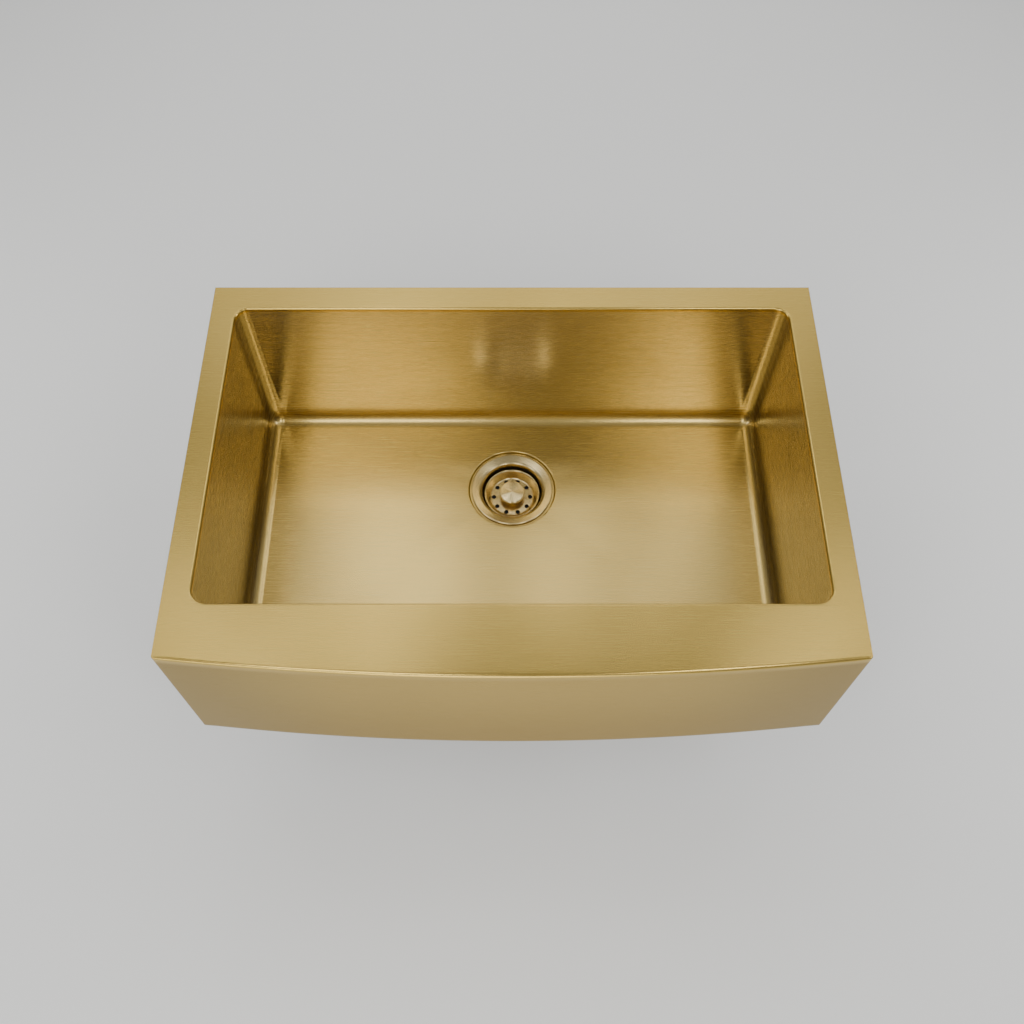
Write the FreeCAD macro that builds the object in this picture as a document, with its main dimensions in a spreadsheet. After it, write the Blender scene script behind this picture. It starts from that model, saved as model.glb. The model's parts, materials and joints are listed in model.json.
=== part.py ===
"""Apron-front kitchen sink with a basket strainer, as an assembly of separate pieces.

Row frame: +Z up, +X to the user's right, +Y away from the user, in millimetres.
The origin is the middle of the bowl opening on the underside of the rim, the plane that sits on the
cabinet. The strainer's pieces are drawn about their own axis, with z = 0 on the floor of the drain
recess, and are then placed on the drain.
"""

import FreeCAD, Part
import math
import os

import Sketcher
from FreeCAD import Placement, Rotation, Vector

OUT_FOLDER = "parts"
X_AXIS = Vector(1, 0, 0)
FINE = 1e-3  # how close two lengths are to count as the same when an edge or face is looked up

# Driving dimensions in millimetres: (alias, value, what it is)
DIMENSIONS = [
    ("sheet", 1.5, "16 gauge stainless sheet of bowl, rim and apron"),
    ("sink_width", 762.0, "overall width, a 30 inch sink"),
    ("bowl_width", 700.0, "bowl opening, left to right"),
    ("bowl_length", 408.0, "bowl opening, front to back"),
    ("rear_deck", 35.0, "rim behind the bowl"),
    ("front_deck", 64.0, "rim in front of the bowl, at its ends"),
    ("apron_bow", 21.0, "how far the apron's middle stands ahead of its ends"),
    ("bowl_drop", 246.0, "rim top down to the edge of the bowl floor"),
    ("corner_radius", 18.0, "upright corners and floor edges inside the bowl"),
    ("lip_radius", 3.0, "rounding where the rim turns down into the bowl"),
    ("collar_drop", 5.0, "how far the rim's collar reaches below its underside"),
    ("floor_fall", 5.0, "fall of the bowl floor from its edge to the drain"),
    ("drain_offset", 86.0, "drain axis behind the middle of the bowl"),
    ("recess_radius", 60.5, "stamped recess that takes the strainer flange"),
    ("recess_drop", 2.5, "recess floor below the lowest point of the bowl floor"),
    ("drain_radius", 46.3, "hole in the bowl for the strainer"),
    ("apron_drop", 225.0, "rim top down to the apron's lower edge"),
    ("apron_bend", 4.0, "outside bend of the apron's top and bottom edges"),
    ("apron_corner", 3.0, "outside bend of the apron's upright ends"),
    ("apron_return", 60.0, "length of the apron's side returns"),
    ("hem_depth", 23.0, "turned-in hem along the apron's lower edge, at its ends"),
    ("side_hem", 14.0, "turned-in hem below the side returns"),
    ("tie_width", 30.0, "strap that ties the apron's hem to the bowl"),
    ("tie_spread", 220.0, "straps left and right of the middle"),
    ("tie_foot", 24.0, "strap length spot welded at each end"),
    ("tie_height", 18.0, "strap's rise from the hem to its foot on the bowl"),
    ("pad_gauge", 3.0, "rubber sound pads"),
    ("pad_round", 8.0, "corners of the sound pads"),
    ("flange_radius", 57.15, "strainer flange, 4.5 inch"),
    ("cup_radius", 42.5, "inside of the strainer cup"),
    ("cup_wall", 1.2, "strainer sheet"),
    ("thread_radius", 43.9, "outside thread of the strainer cup"),
    ("outlet_bore", 20.3, "inside of the strainer outlet"),
    ("outlet_radius", 23.8, "outside thread of the outlet, 1.5 inch pipe"),
    ("outlet_end", 82.0, "outlet's lower end below the recess floor"),
    ("nut_height", 11.0, "locknut"),
    ("washer_gauge", 2.5, "washer between outlet and tailpiece"),
    ("tail_radius", 19.05, "tailpiece tube, 1.5 inch outside"),
    ("tail_wall", 1.2, "tailpiece sheet"),
    ("tail_length", 100.0, "tailpiece, 4 inch"),
    ("basket_radius", 39.2, "basket lip"),
    ("basket_wall", 0.9, "basket sheet"),
    ("knob_radius", 18.0, "knob of the basket"),
    ("post_radius", 3.0, "rod through the basket and the stopper"),
]
BREAKTHROUGH = 5.0  # how far a cutting shape reaches past the piece it cuts
PIN_SLACK = 0.1  # gap between the post and the pieces it goes through
THREAD_SLACK = 0.2  # gap between two threads


class Size:
    """A length together with the spreadsheet expression that gives it."""

    def __init__(self, value, text):
        self.value = float(value)
        self.text = text

    def _join(self, sign, other, value):
        return Size(value, f"({self.text} {sign} {as_size(other).text})")

    def __add__(self, other):
        return self._join("+", other, self.value + as_size(other).value)

    def __radd__(self, other):
        return as_size(other) + self

    def __sub__(self, other):
        return self._join("-", other, self.value - as_size(other).value)

    def __rsub__(self, other):
        return as_size(other) - self

    def __mul__(self, other):
        return self._join("*", other, self.value * as_size(other).value)

    def __truediv__(self, other):
        return self._join("/", other, self.value / as_size(other).value)

    def __neg__(self):
        return Size(-self.value, f"(0 - {self.text})")


def as_size(number):
    return number if isinstance(number, Size) else Size(number, f"({number:.6g})")


doc = FreeCAD.newDocument("apron_sink")
sheet = doc.addObject("Spreadsheet::Sheet", "dims")
for row, (alias, number, note) in enumerate(DIMENSIONS, start=1):
    sheet.set(f"A{row}", note)
    sheet.set(f"B{row}", str(number))
    sheet.setAlias(f"B{row}", alias)
doc.recompute()
D = {alias: Size(number, f"dims.{alias}") for alias, number, _ in DIMENSIONS}

# Places that several pieces share
HALF_WIDTH = D["sink_width"] / 2
HALF_BOWL = D["bowl_length"] / 2
REAR_EDGE = HALF_BOWL + D["rear_deck"]
FRONT_CORNER = -(HALF_BOWL + D["front_deck"])
RETURN_END = FRONT_CORNER + D["apron_return"]
ARC_RADIUS = (HALF_WIDTH * HALF_WIDTH + D["apron_bow"] * D["apron_bow"]) / (D["apron_bow"] * 2)
ARC_CENTRE = FRONT_CORNER - D["apron_bow"] + ARC_RADIUS
FLOOR_EDGE = D["sheet"] - D["bowl_drop"]
FLOOR_LOW = FLOOR_EDGE - D["floor_fall"]
RECESS_FLOOR = FLOOR_LOW - D["recess_drop"]
APRON_FOOT = D["sheet"] - D["apron_drop"]

pieces = []


# ---------------------------------------------------------------- building blocks


def keep(obj, label):
    """Names a finished sub-part and puts it on the list of files."""
    obj.Label = label
    pieces.append(obj)
    return obj


def bind(obj, name, size):
    obj.setExpression(name, as_size(size).text)


def place(obj, x=None, y=None, z=None):
    for letter, size in (("x", x), ("y", y), ("z", z)):
        if size is not None:
            bind(obj, f"Placement.Base.{letter}", size)


def new_body(name):
    return doc.addObject("PartDesign::Body", name)


def strainer_body(name):
    """A body whose z = 0 is the recess floor, on the drain axis."""
    body = new_body(name)
    place(body, y=D["drain_offset"], z=RECESS_FLOOR)
    return body


def new_sketch(body, role, height=None):
    """A sketch on one of the body's own origin planes, raised along the plane's normal by height."""
    plane = next(f for f in body.Origin.OriginFeatures if f.Role == role)
    sketch = body.newObject("Sketcher::SketchObject", body.Name + "_sketch")
    sketch.AttachmentSupport = (plane, [""])
    sketch.MapMode = "FlatFace"
    if height is not None:
        bind(sketch, "AttachmentOffset.Base.z", height)
    return sketch


def hold_point(sketch, line, end, across, up):
    """Fixes one end of a line at a distance from the sketch's origin."""
    for kind, size in (("DistanceX", across), ("DistanceY", up)):
        if size is None:
            continue
        size = as_size(size)
        number = sketch.addConstraint(Sketcher.Constraint(kind, -1, 1, line, end, size.value))
        sketch.setExpression(f"Constraints[{number}]", size.text)


def hold_radius(sketch, arc, size):
    number = sketch.addConstraint(Sketcher.Constraint("Radius", arc, as_size(size).value))
    sketch.setExpression(f"Constraints[{number}]", as_size(size).text)


def polygon(body, role, points, height=None):
    """A closed outline of straight lines through points of two sizes each."""
    sketch = new_sketch(body, role, height)
    spots = [Vector(as_size(u).value, as_size(v).value, 0) for u, v in points]
    count = len(spots)
    for i in range(count):
        sketch.addGeometry(Part.LineSegment(spots[i], spots[(i + 1) % count]), False)
    for i in range(count):
        sketch.addConstraint(Sketcher.Constraint("Coincident", i, 2, (i + 1) % count, 1))
    for i, (u, v) in enumerate(points):
        hold_point(sketch, i, 1, u, v)
    return sketch


def rectangle(body, left, right, front, back, height=None):
    return polygon(
        body, "XY_Plane", [(left, front), (right, front), (right, back), (left, back)], height
    )


def rounded_rectangle(body, width, length, radius, height=None):
    """A rectangle about the origin with four equal round corners."""
    sketch = new_sketch(body, "XY_Plane", height)
    across, up, turn = width.value / 2, length.value / 2, radius.value
    corners = [(1, -1), (1, 1), (-1, 1), (-1, -1)]
    middles = [Vector(i * (across - turn), j * (up - turn), 0) for i, j in corners]
    for i, middle in enumerate(middles):
        start = (i - 1) * math.pi / 2
        circle = Part.Circle(middle, Vector(0, 0, 1), turn)
        sketch.addGeometry(Part.ArcOfCircle(circle, start, start + math.pi / 2), False)
    for i in range(4):
        sides = sketch.Geometry[i].EndPoint, sketch.Geometry[(i + 1) % 4].StartPoint
        sketch.addGeometry(Part.LineSegment(*sides), False)
    for i in range(4):
        sketch.addConstraint(Sketcher.Constraint("Tangent", i, 2, 4 + i, 1))
        sketch.addConstraint(Sketcher.Constraint("Tangent", 4 + i, 2, (i + 1) % 4, 1))
    for i, direction in enumerate(("Vertical", "Horizontal", "Vertical", "Horizontal")):
        sketch.addConstraint(Sketcher.Constraint(direction, 4 + i))
    for i in range(1, 4):
        sketch.addConstraint(Sketcher.Constraint("Equal", 0, i))
    hold_radius(sketch, 0, radius)
    hold_point(sketch, 4, 1, width / 2, None)
    hold_point(sketch, 5, 1, None, length / 2)
    hold_point(sketch, 6, 1, -(width / 2), None)
    hold_point(sketch, 7, 1, None, -(length / 2))
    return sketch


def circle(body, across, radius, height=None):
    """A circle with its centre on the body's X axis."""
    sketch = new_sketch(body, "XY_Plane", height)
    middle = Vector(as_size(across).value, 0, 0)
    sketch.addGeometry(Part.Circle(middle, Vector(0, 0, 1), as_size(radius).value), False)
    sketch.addConstraint(Sketcher.Constraint("PointOnObject", 0, 3, -1))
    hold_point(sketch, 0, 3, across, None)
    hold_radius(sketch, 0, radius)
    return sketch


def bowed_outline(body, half_width, back, radius, height=None):
    """A rectangle whose front side is an arc about the apron's centre."""
    sketch = new_sketch(body, "XY_Plane", height)
    x = half_width.value
    front = ARC_CENTRE.value - math.sqrt(radius.value**2 - x**2)
    corners = [
        Vector(x, front, 0),
        Vector(x, back.value, 0),
        Vector(-x, back.value, 0),
        Vector(-x, front, 0),
    ]
    for i in range(3):
        sketch.addGeometry(Part.LineSegment(corners[i], corners[i + 1]), False)
    half_angle = math.asin(x / radius.value)
    circle = Part.Circle(Vector(0, ARC_CENTRE.value, 0), Vector(0, 0, 1), radius.value)
    down = -math.pi / 2
    sketch.addGeometry(Part.ArcOfCircle(circle, down - half_angle, down + half_angle), False)
    for pair in ((0, 2, 1, 1), (1, 2, 2, 1), (2, 2, 3, 1), (3, 2, 0, 1)):
        sketch.addConstraint(Sketcher.Constraint("Coincident", *pair))
    sketch.addConstraint(Sketcher.Constraint("Vertical", 0))
    sketch.addConstraint(Sketcher.Constraint("Vertical", 2))
    sketch.addConstraint(Sketcher.Constraint("PointOnObject", 3, 3, -2))
    hold_point(sketch, 3, 3, None, ARC_CENTRE)
    hold_radius(sketch, 3, radius)
    hold_point(sketch, 1, 1, half_width, back)
    hold_point(sketch, 2, 1, -half_width, back)
    return sketch


def feature(body, kind, **settings):
    """Adds a PartDesign feature: Size settings are bound to the sheet, the others are set."""
    made = body.newObject(f"PartDesign::{kind}", f"{body.Name}_{kind}")
    for name, setting in settings.items():
        if isinstance(setting, Size):
            bind(made, name, setting)
        else:
            setattr(made, name, setting)
    return made


def pad(body, sketch, length, down=False, both_ways=False):
    return feature(
        body, "Pad", Profile=sketch, Length=as_size(length), Reversed=down, Midplane=both_ways
    )


def pocket(body, sketch, length, up=False):
    """Cuts from the sketch plane, downwards unless up is set, and checks that it removed something."""
    doc.recompute()
    before = body.Shape.Volume
    made = feature(body, "Pocket", Profile=sketch, Length=as_size(length), Reversed=up)
    doc.recompute()
    if body.Shape.Volume > before - FINE:
        raise RuntimeError(f"{made.Name} cuts nothing")
    return made


def turned(body, points):
    """A closed profile of (radius, height) points turned about the body's axis."""
    sketch = polygon(body, "XZ_Plane", points)
    return feature(body, "Revolution", Profile=sketch, ReferenceAxis=(sketch, ["V_Axis"]))


def round_edges(body, radius, wanted):
    """Rounds every edge of the body so far for which wanted(edge) is true."""
    doc.recompute()
    base = body.Tip
    names = [f"Edge{i}" for i, edge in enumerate(base.Shape.Edges, start=1) if wanted(edge)]
    if not names:
        raise RuntimeError(f"{body.Name} has no such edge to round")
    return feature(body, "Fillet", Base=(base, names), Radius=as_size(radius))


def around(body, original, count):
    """Repeats a feature about the body's axis."""
    axis = next(f for f in body.Origin.OriginFeatures if f.Role == "Z_Axis")
    made = feature(body, "PolarPattern", Originals=[original], Axis=(axis, [""]), Occurrences=count)
    body.Tip = made
    return made


def near(a, b, tolerance=0.05):
    return abs(a - as_size(b).value) < tolerance


def flat_at(edge, height):
    """True for an edge that lies in the level plane at height."""
    return near(edge.BoundBox.ZMin, height) and near(edge.BoundBox.ZMax, height)


def block(name, left, right, front, back, bottom, top):
    """A box between six bound planes."""
    box = doc.addObject("Part::Box", name)
    bind(box, "Length", as_size(right) - left)
    bind(box, "Width", as_size(back) - front)
    bind(box, "Height", as_size(top) - bottom)
    place(box, left, front, bottom)
    return box


def round_block(box, direction, radius):
    """Rounds a block's four edges along one axis, given as a letter."""
    doc.recompute()
    along = {"x": "XLength", "y": "YLength", "z": "ZLength"}
    others = [side for letter, side in along.items() if letter != direction]
    edges = [
        (i, radius.value, radius.value)
        for i, edge in enumerate(box.Shape.Edges, start=1)
        if all(getattr(edge.BoundBox, side) < FINE for side in others)
    ]
    made = doc.addObject("Part::Fillet", box.Name + "_rounded")
    made.Base = box
    made.Edges = edges
    return made


def boolean(kind, name, base, tool):
    made = doc.addObject(f"Part::{kind}", name)
    made.Base, made.Tool = base, tool
    return made


# ---------------------------------------------------------------- bowl, rim and apron

FACET_TIP = 2.0  # half of the small flat where the four floor facets would meet, inside the recess


def bowl_form(name, grow, top):
    """The bowl's shape grown outwards by grow: a rounded box, four floor facets and the recess."""
    body = new_body(name)
    half_x = D["bowl_width"] / 2 + grow
    half_y = HALF_BOWL + grow
    radius = D["corner_radius"] + grow
    floor = FLOOR_EDGE - grow
    sketch = rectangle(body, -half_x, half_x, -half_y, half_y, top)
    pad(body, sketch, as_size(top) - floor, down=True)

    def below_the_top(edge):
        return not flat_at(edge, top)

    round_edges(body, radius, below_the_top)
    doc.recompute()
    wedge = feature(body, "AdditiveWedge")
    wedge.AttachmentSupport = (
        next(f for f in body.Origin.OriginFeatures if f.Role == "XY_Plane"),
        [""],
    )
    wedge.MapMode = "FlatFace"
    wedge.AttachmentOffset = Placement(Vector(), Rotation(X_AXIS, -90))
    bind(wedge, "AttachmentOffset.Base.z", floor)
    flat_x, flat_y = half_x - radius, half_y - radius
    limits = {
        "Xmin": -flat_x,
        "Xmax": flat_x,
        "Zmin": -flat_y,
        "Zmax": flat_y,
        "Ymin": as_size(0),
        "Ymax": D["floor_fall"],
        "X2min": as_size(-FACET_TIP),
        "X2max": as_size(FACET_TIP),
        "Z2min": D["drain_offset"] - FACET_TIP,
        "Z2max": D["drain_offset"] + FACET_TIP,
    }
    for side, size in limits.items():
        bind(wedge, side, size)
    doc.recompute()
    recess = new_sketch(body, "XY_Plane", RECESS_FLOOR - grow)
    middle = Vector(0, D["drain_offset"].value, 0)
    wide = D["recess_radius"] + grow
    recess.addGeometry(Part.Circle(middle, Vector(0, 0, 1), wide.value), False)
    recess.addConstraint(Sketcher.Constraint("PointOnObject", 0, 3, -2))
    hold_point(recess, 0, 3, None, D["drain_offset"])
    hold_radius(recess, 0, wide)
    pad(body, recess, D["recess_drop"] + D["floor_fall"] + BREAKTHROUGH)
    return body


def make_bowl():
    top = -D["collar_drop"]
    cavity = bowl_form("bowl_cavity", as_size(0), top)
    outside = bowl_form("bowl_outside", D["sheet"], top)
    shell = boolean("Cut", "bowl_shell", outside, cavity)
    hole = doc.addObject("Part::Cylinder", "bowl_drain_hole")
    bind(hole, "Radius", D["drain_radius"])
    bind(hole, "Height", D["bowl_drop"])
    place(hole, y=D["drain_offset"], z=RECESS_FLOOR - D["bowl_drop"] / 2)
    return keep(boolean("Cut", "bowl_piece", shell, hole), "bowl")


def make_rim():
    """Flat deck with a down-turned collar round the bowl, cut back for the apron's folded top."""
    body = new_body("rim_piece")
    inner_half = HALF_WIDTH - D["sheet"]
    sketch = bowed_outline(body, inner_half, REAR_EDGE, ARC_RADIUS - D["apron_bend"])
    pad(body, sketch, D["sheet"])
    doc.recompute()
    strips = rectangle(body, -HALF_WIDTH, HALF_WIDTH, RETURN_END, REAR_EDGE)
    pad(body, strips, D["sheet"])
    grow = D["sheet"] * 2
    collar = rounded_rectangle(
        body, D["bowl_width"] + grow, D["bowl_length"] + grow, D["corner_radius"] + D["sheet"]
    )
    pad(body, collar, D["collar_drop"], down=True)
    opening = rounded_rectangle(
        body, D["bowl_width"], D["bowl_length"], D["corner_radius"], D["sheet"]
    )
    pocket(body, opening, D["collar_drop"] + D["sheet"] * 2)
    half_x, half_y = D["bowl_width"].value / 2, HALF_BOWL.value

    def lip(edge):
        box = edge.BoundBox
        inside = max(abs(box.XMin), abs(box.XMax)) < half_x + FINE
        return flat_at(edge, D["sheet"]) and inside and abs(box.YMin) < half_y + FINE

    def crease(edge):
        box = edge.BoundBox
        reach = D["sheet"].value + FINE
        inside = max(abs(box.XMin), abs(box.XMax)) < half_x + reach
        return flat_at(edge, 0) and inside and abs(box.YMin) < half_y + reach

    round_edges(body, D["lip_radius"], lip)
    round_edges(body, D["lip_radius"] - D["sheet"], crease)
    return keep(body, "rim_deck")


def apron_form(name, inset, back):
    """The apron's closed shape, shrunk by inset: an upright prism met by a disc with rounded rims."""
    prism = new_body(name + "_prism")
    top, foot = D["sheet"] - inset, APRON_FOOT + inset
    outline = bowed_outline(prism, HALF_WIDTH - inset, back, ARC_RADIUS - inset, top)
    pad(prism, outline, top - foot, down=True)

    def upright_front(edge):
        front_end = FRONT_CORNER.value + D["apron_corner"].value
        return edge.BoundBox.ZLength > FINE and edge.BoundBox.YMax < front_end

    round_edges(prism, D["apron_corner"] - inset, upright_front)
    disc = new_body(name + "_disc")
    place(disc, y=ARC_CENTRE)
    rim = ARC_RADIUS - inset
    hub = ARC_RADIUS / 2
    turned(disc, [(hub, foot), (rim, foot), (rim, top), (hub, top)])

    def outer_rim(edge):
        return edge.BoundBox.ZLength < FINE and edge.BoundBox.XMax > rim.value - 1

    round_edges(disc, D["apron_bend"] - inset, outer_rim)
    return boolean("Common", name, prism, disc)


def make_apron():
    """Folded front panel: bowed face, rounded top edge, side returns and a hem along the bottom."""
    outer = apron_form("apron_outside", as_size(0), RETURN_END)
    inner = apron_form("apron_inside", D["sheet"], RETURN_END + BREAKTHROUGH)
    shell = boolean("Cut", "apron_shell", outer, inner)
    deck_gap = new_body("apron_deck_gap")
    outline = bowed_outline(
        deck_gap, HALF_WIDTH - D["sheet"], RETURN_END + BREAKTHROUGH, ARC_RADIUS - D["apron_bend"]
    )
    pad(deck_gap, outline, D["sheet"] * 2, both_ways=True)
    place(deck_gap, z=D["sheet"])
    folded = boolean("Cut", "apron_folded", shell, deck_gap)
    foot_gap = block(
        "apron_foot_gap",
        D["side_hem"] - HALF_WIDTH,
        HALF_WIDTH - D["side_hem"],
        FRONT_CORNER + D["hem_depth"],
        RETURN_END + BREAKTHROUGH,
        APRON_FOOT - BREAKTHROUGH,
        APRON_FOOT + BREAKTHROUGH,
    )
    return keep(boolean("Cut", "apron_piece", folded, foot_gap), "apron_front")


def make_tie(label, offset):
    """Bent strap from the apron's hem up to the bowl's front wall."""
    body = new_body(label + "_piece")
    wall = -(HALF_BOWL + D["sheet"])
    hem_top = APRON_FOOT + D["sheet"]
    knee = FRONT_CORNER + D["hem_depth"]
    rise = hem_top + D["tie_height"]
    gauge = D["sheet"]
    points = [
        (knee - D["tie_foot"], hem_top),
        (knee, hem_top),
        (wall, rise),
        (wall, rise + D["tie_foot"]),
        (wall - gauge, rise + D["tie_foot"]),
        (wall - gauge, rise + gauge),
        (knee - gauge / 2, hem_top + gauge),
        (knee - D["tie_foot"], hem_top + gauge),
    ]
    pad(body, polygon(body, "YZ_Plane", points), D["tie_width"], both_ways=True)
    place(body, x=offset)
    return keep(body, label)


# ---------------------------------------------------------------- sound pads


PAD_TOP = -45.0
PAD_BOTTOM = -200.0
SIDE_PAD_SHARE = 0.66  # length of a side wall's pad, as a share of the wall
REAR_PAD_SHARE = 0.68
FRONT_PAD_SHARE = 0.34
FLOOR_PAD_SHARE = 0.74
FLOOR_PAD_NEAR = 95.0
FLOOR_PAD_FAR = 300.0


def make_wall_pads():
    """Rubber pads on the four walls of the bowl."""
    wall_x = D["bowl_width"] / 2 + D["sheet"]
    wall_y = HALF_BOWL + D["sheet"]
    gauge = D["pad_gauge"]
    low, high = as_size(PAD_BOTTOM), as_size(PAD_TOP)
    side = HALF_BOWL * SIDE_PAD_SHARE
    rear = D["bowl_width"] / 2 * REAR_PAD_SHARE
    front = D["bowl_width"] / 2 * FRONT_PAD_SHARE
    boxes = {
        "sound_pad_left": ("x", -wall_x - gauge, -wall_x, -side, side),
        "sound_pad_right": ("x", wall_x, wall_x + gauge, -side, side),
        "sound_pad_rear": ("y", -rear, rear, wall_y, wall_y + gauge),
        "sound_pad_front": ("y", -front, front, -wall_y - gauge, -wall_y),
    }
    for label, (through, left, right, fore, back) in boxes.items():
        box = block(label + "_block", left, right, fore, back, low, high)
        keep(round_block(box, through, D["pad_round"]), label)


def make_floor_pads():
    """Rubber pads that follow the facets under the bowl floor, left and right of the drain."""
    top = as_size(PAD_BOTTOM)
    bowl_side = bowl_form("pad_upper_form", D["sheet"], top)
    far_side = bowl_form("pad_lower_form", D["sheet"] + D["pad_gauge"], top)
    layer = boolean("Cut", "pad_layer", far_side, bowl_side)
    near_x, far_x = as_size(FLOOR_PAD_NEAR), as_size(FLOOR_PAD_FAR)
    half_y = HALF_BOWL * FLOOR_PAD_SHARE
    spans = {"sound_pad_floor_left": (-far_x, -near_x), "sound_pad_floor_right": (near_x, far_x)}
    for label, (left, right) in spans.items():
        below, above = FLOOR_LOW - D["pad_gauge"] - BREAKTHROUGH, FLOOR_EDGE + BREAKTHROUGH
        box = block(label + "_block", left, right, -half_y, half_y, below, above)
        rounded = round_block(box, "z", D["pad_round"])
        keep(boolean("Common", label + "_piece", layer, rounded), label)


# ---------------------------------------------------------------- strainer, fixed pieces

FLANGE_SLOPE = 0.24  # fall of the flange towards the drain, per millimetre of radius
FLANGE_BEAD = 56.0
FLANGE_TOP = 3.5
FLANGE_EDGE = (-0.6, -1.4)  # upper and lower corner of the flange's outer edge, below its bead
THROAT_RADIUS = 46.8
THROAT_TURN = ((1.3, -1.5), (0.0, -4.5))  # rounding from the flange into the cup: out and down
CUP_DEPTH = 24.0
SHOULDER = (-1.4, -1.6)  # outside, where the flange turns into the thread: out and down
THREAD_TOP = -4.0
SEAT_RADIUS = 27.0
SEAT_DEPTH = 38.5
OUTLET_THREAD = 20.0
OUTLET_SHOULDER = 2.0
SPIDER_LEDGE = 45.5
SPIDER_GAUGE = 1.5
SPIDER_MIDDLE = 4.4  # hole that the basket's clip snaps into
SPIDER_RING = 15.5  # radius on which the drain holes lie
SPIDER_HOLE = 5.5
SPIDER_HOLES = 6
SEAL_INNER = 49.5
SEAL_OUTER = 55.2


def flange_height(radius):
    """Height of the flange's dished top face."""
    return FLANGE_TOP - (FLANGE_BEAD - radius) * FLANGE_SLOPE


def make_strainer_cup():
    body = strainer_body("strainer_piece")
    wall = D["cup_wall"]
    cup = D["cup_radius"]
    lip = flange_height(THROAT_RADIUS)
    cone = (cup.value - SEAT_RADIUS) / (SEAT_DEPTH - CUP_DEPTH)
    skew = wall * math.hypot(1.0, cone)
    turned(
        body,
        [
            (D["flange_radius"], FLANGE_TOP + FLANGE_EDGE[1]),
            (D["flange_radius"], FLANGE_TOP + FLANGE_EDGE[0]),
            (FLANGE_BEAD, FLANGE_TOP),
            (THROAT_RADIUS, lip),
            *((cup + out, lip + down) for out, down in THROAT_TURN),
            (cup, -CUP_DEPTH),
            (SEAT_RADIUS, -SEAT_DEPTH),
            (SEAT_RADIUS, -SPIDER_LEDGE),
            (D["outlet_bore"], -SPIDER_LEDGE),
            (D["outlet_bore"], -D["outlet_end"]),
            (D["outlet_radius"], -D["outlet_end"]),
            (D["outlet_radius"], -D["outlet_end"] + OUTLET_THREAD),
            (SEAT_RADIUS + wall, -D["outlet_end"] + OUTLET_THREAD + OUTLET_SHOULDER),
            (SEAT_RADIUS + wall, -SEAT_DEPTH - wall * 0.4),
            (D["thread_radius"], -(skew + CUP_DEPTH) + 0.8),
            (D["thread_radius"], THREAD_TOP),
            (D["drain_radius"] + SHOULDER[0], SHOULDER[1]),
            (D["drain_radius"], 0),
            (THROAT_RADIUS, flange_height(THROAT_RADIUS) - wall),
            (FLANGE_BEAD, FLANGE_TOP - wall),
        ],
    )
    return keep(body, "strainer_cup")


def ring(label, inner, outer, bottom, top):
    """A flat ring about the drain axis."""
    body = strainer_body(label + "_piece")
    turned(body, [(inner, bottom), (outer, bottom), (outer, top), (inner, top)])
    return keep(body, label)


def make_flange_seal():
    """Wedge-section ring between the dished flange and the recess floor."""
    body = strainer_body("flange_seal_piece")
    under = -D["cup_wall"].value
    turned(
        body,
        [
            (SEAL_INNER, 0),
            (SEAL_OUTER, 0),
            (SEAL_OUTER, flange_height(SEAL_OUTER) + under),
            (SEAL_INNER, flange_height(SEAL_INNER) + under),
        ],
    )
    return keep(body, "flange_seal")


def make_spider():
    """Plate in the strainer's outlet with drain holes and a middle hole for the basket's clip."""
    body = strainer_body("spider_piece")
    under, upper = -SPIDER_LEDGE, -SPIDER_LEDGE + SPIDER_GAUGE
    rim = SEAT_RADIUS - PIN_SLACK
    turned(
        body, [(SPIDER_MIDDLE, under), (rim, under), (rim, upper), (SPIDER_MIDDLE, upper)]
    )
    doc.recompute()
    outline = circle(body, SPIDER_RING, SPIDER_HOLE, upper + BREAKTHROUGH)
    hole = pocket(body, outline, SPIDER_GAUGE + BREAKTHROUGH * 2)
    around(body, hole, SPIDER_HOLES)
    return keep(body, "outlet_spider")


GASKET_TOP = -D["sheet"]  # underside of the recess floor
GASKET_BORE = 45.4
GASKET_EDGE = 56.0
GASKET_GAUGE = 3.0
FRICTION_BORE = 44.4
FRICTION_EDGE = 55.0
FRICTION_GAUGE = 1.0
NUT_BODY = 51.0
NUT_FLANGE = 54.5
NUT_FLANGE_GAUGE = 3.0
NUT_LUGS = 6
LUG_ROOT = 49.0
LUG_TIP = 57.5
LUG_HALF_WIDTH = 4.0
LUG_STEP = 2.0  # how far the lugs stop below the nut's upper face


def make_clamp_rings():
    """Rubber gasket and fibre ring between the bowl and the locknut."""
    friction_top = GASKET_TOP - GASKET_GAUGE
    ring("rubber_gasket", GASKET_BORE, GASKET_EDGE, friction_top, GASKET_TOP)
    ring("friction_ring", FRICTION_BORE, FRICTION_EDGE, friction_top - FRICTION_GAUGE, friction_top)


def make_locknut():
    """Ring nut with lugs to turn it by."""
    body = strainer_body("locknut_piece")
    top = GASKET_TOP - GASKET_GAUGE - FRICTION_GAUGE
    bottom = top - D["nut_height"]
    step = top - NUT_FLANGE_GAUGE
    bore = D["thread_radius"] + THREAD_SLACK
    turned(
        body,
        [
            (bore, bottom),
            (NUT_BODY, bottom),
            (NUT_BODY, step),
            (NUT_FLANGE, step),
            (NUT_FLANGE, top),
            (bore, top),
        ],
    )
    lug = rectangle(body, LUG_ROOT, LUG_TIP, -LUG_HALF_WIDTH, LUG_HALF_WIDTH, bottom)
    lug_pad = pad(body, lug, D["nut_height"] - LUG_STEP)
    around(body, lug_pad, NUT_LUGS)
    return keep(body, "locknut")


COUPLING_GRIP = 8.5  # thread above the outlet's lower end
COUPLING_BODY = 27.2
COUPLING_FOOT = 26.0  # lower edge, after its chamfer
COUPLING_LIP = 3.0
COUPLING_CHAMFER = 1.0
COUPLING_RIB = 29.2
COUPLING_RIBS = 8
RIB_HALF_WIDTH = 2.5
LIP_SLACK = 1.2  # gap between the lip and the tailpiece tube


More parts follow.
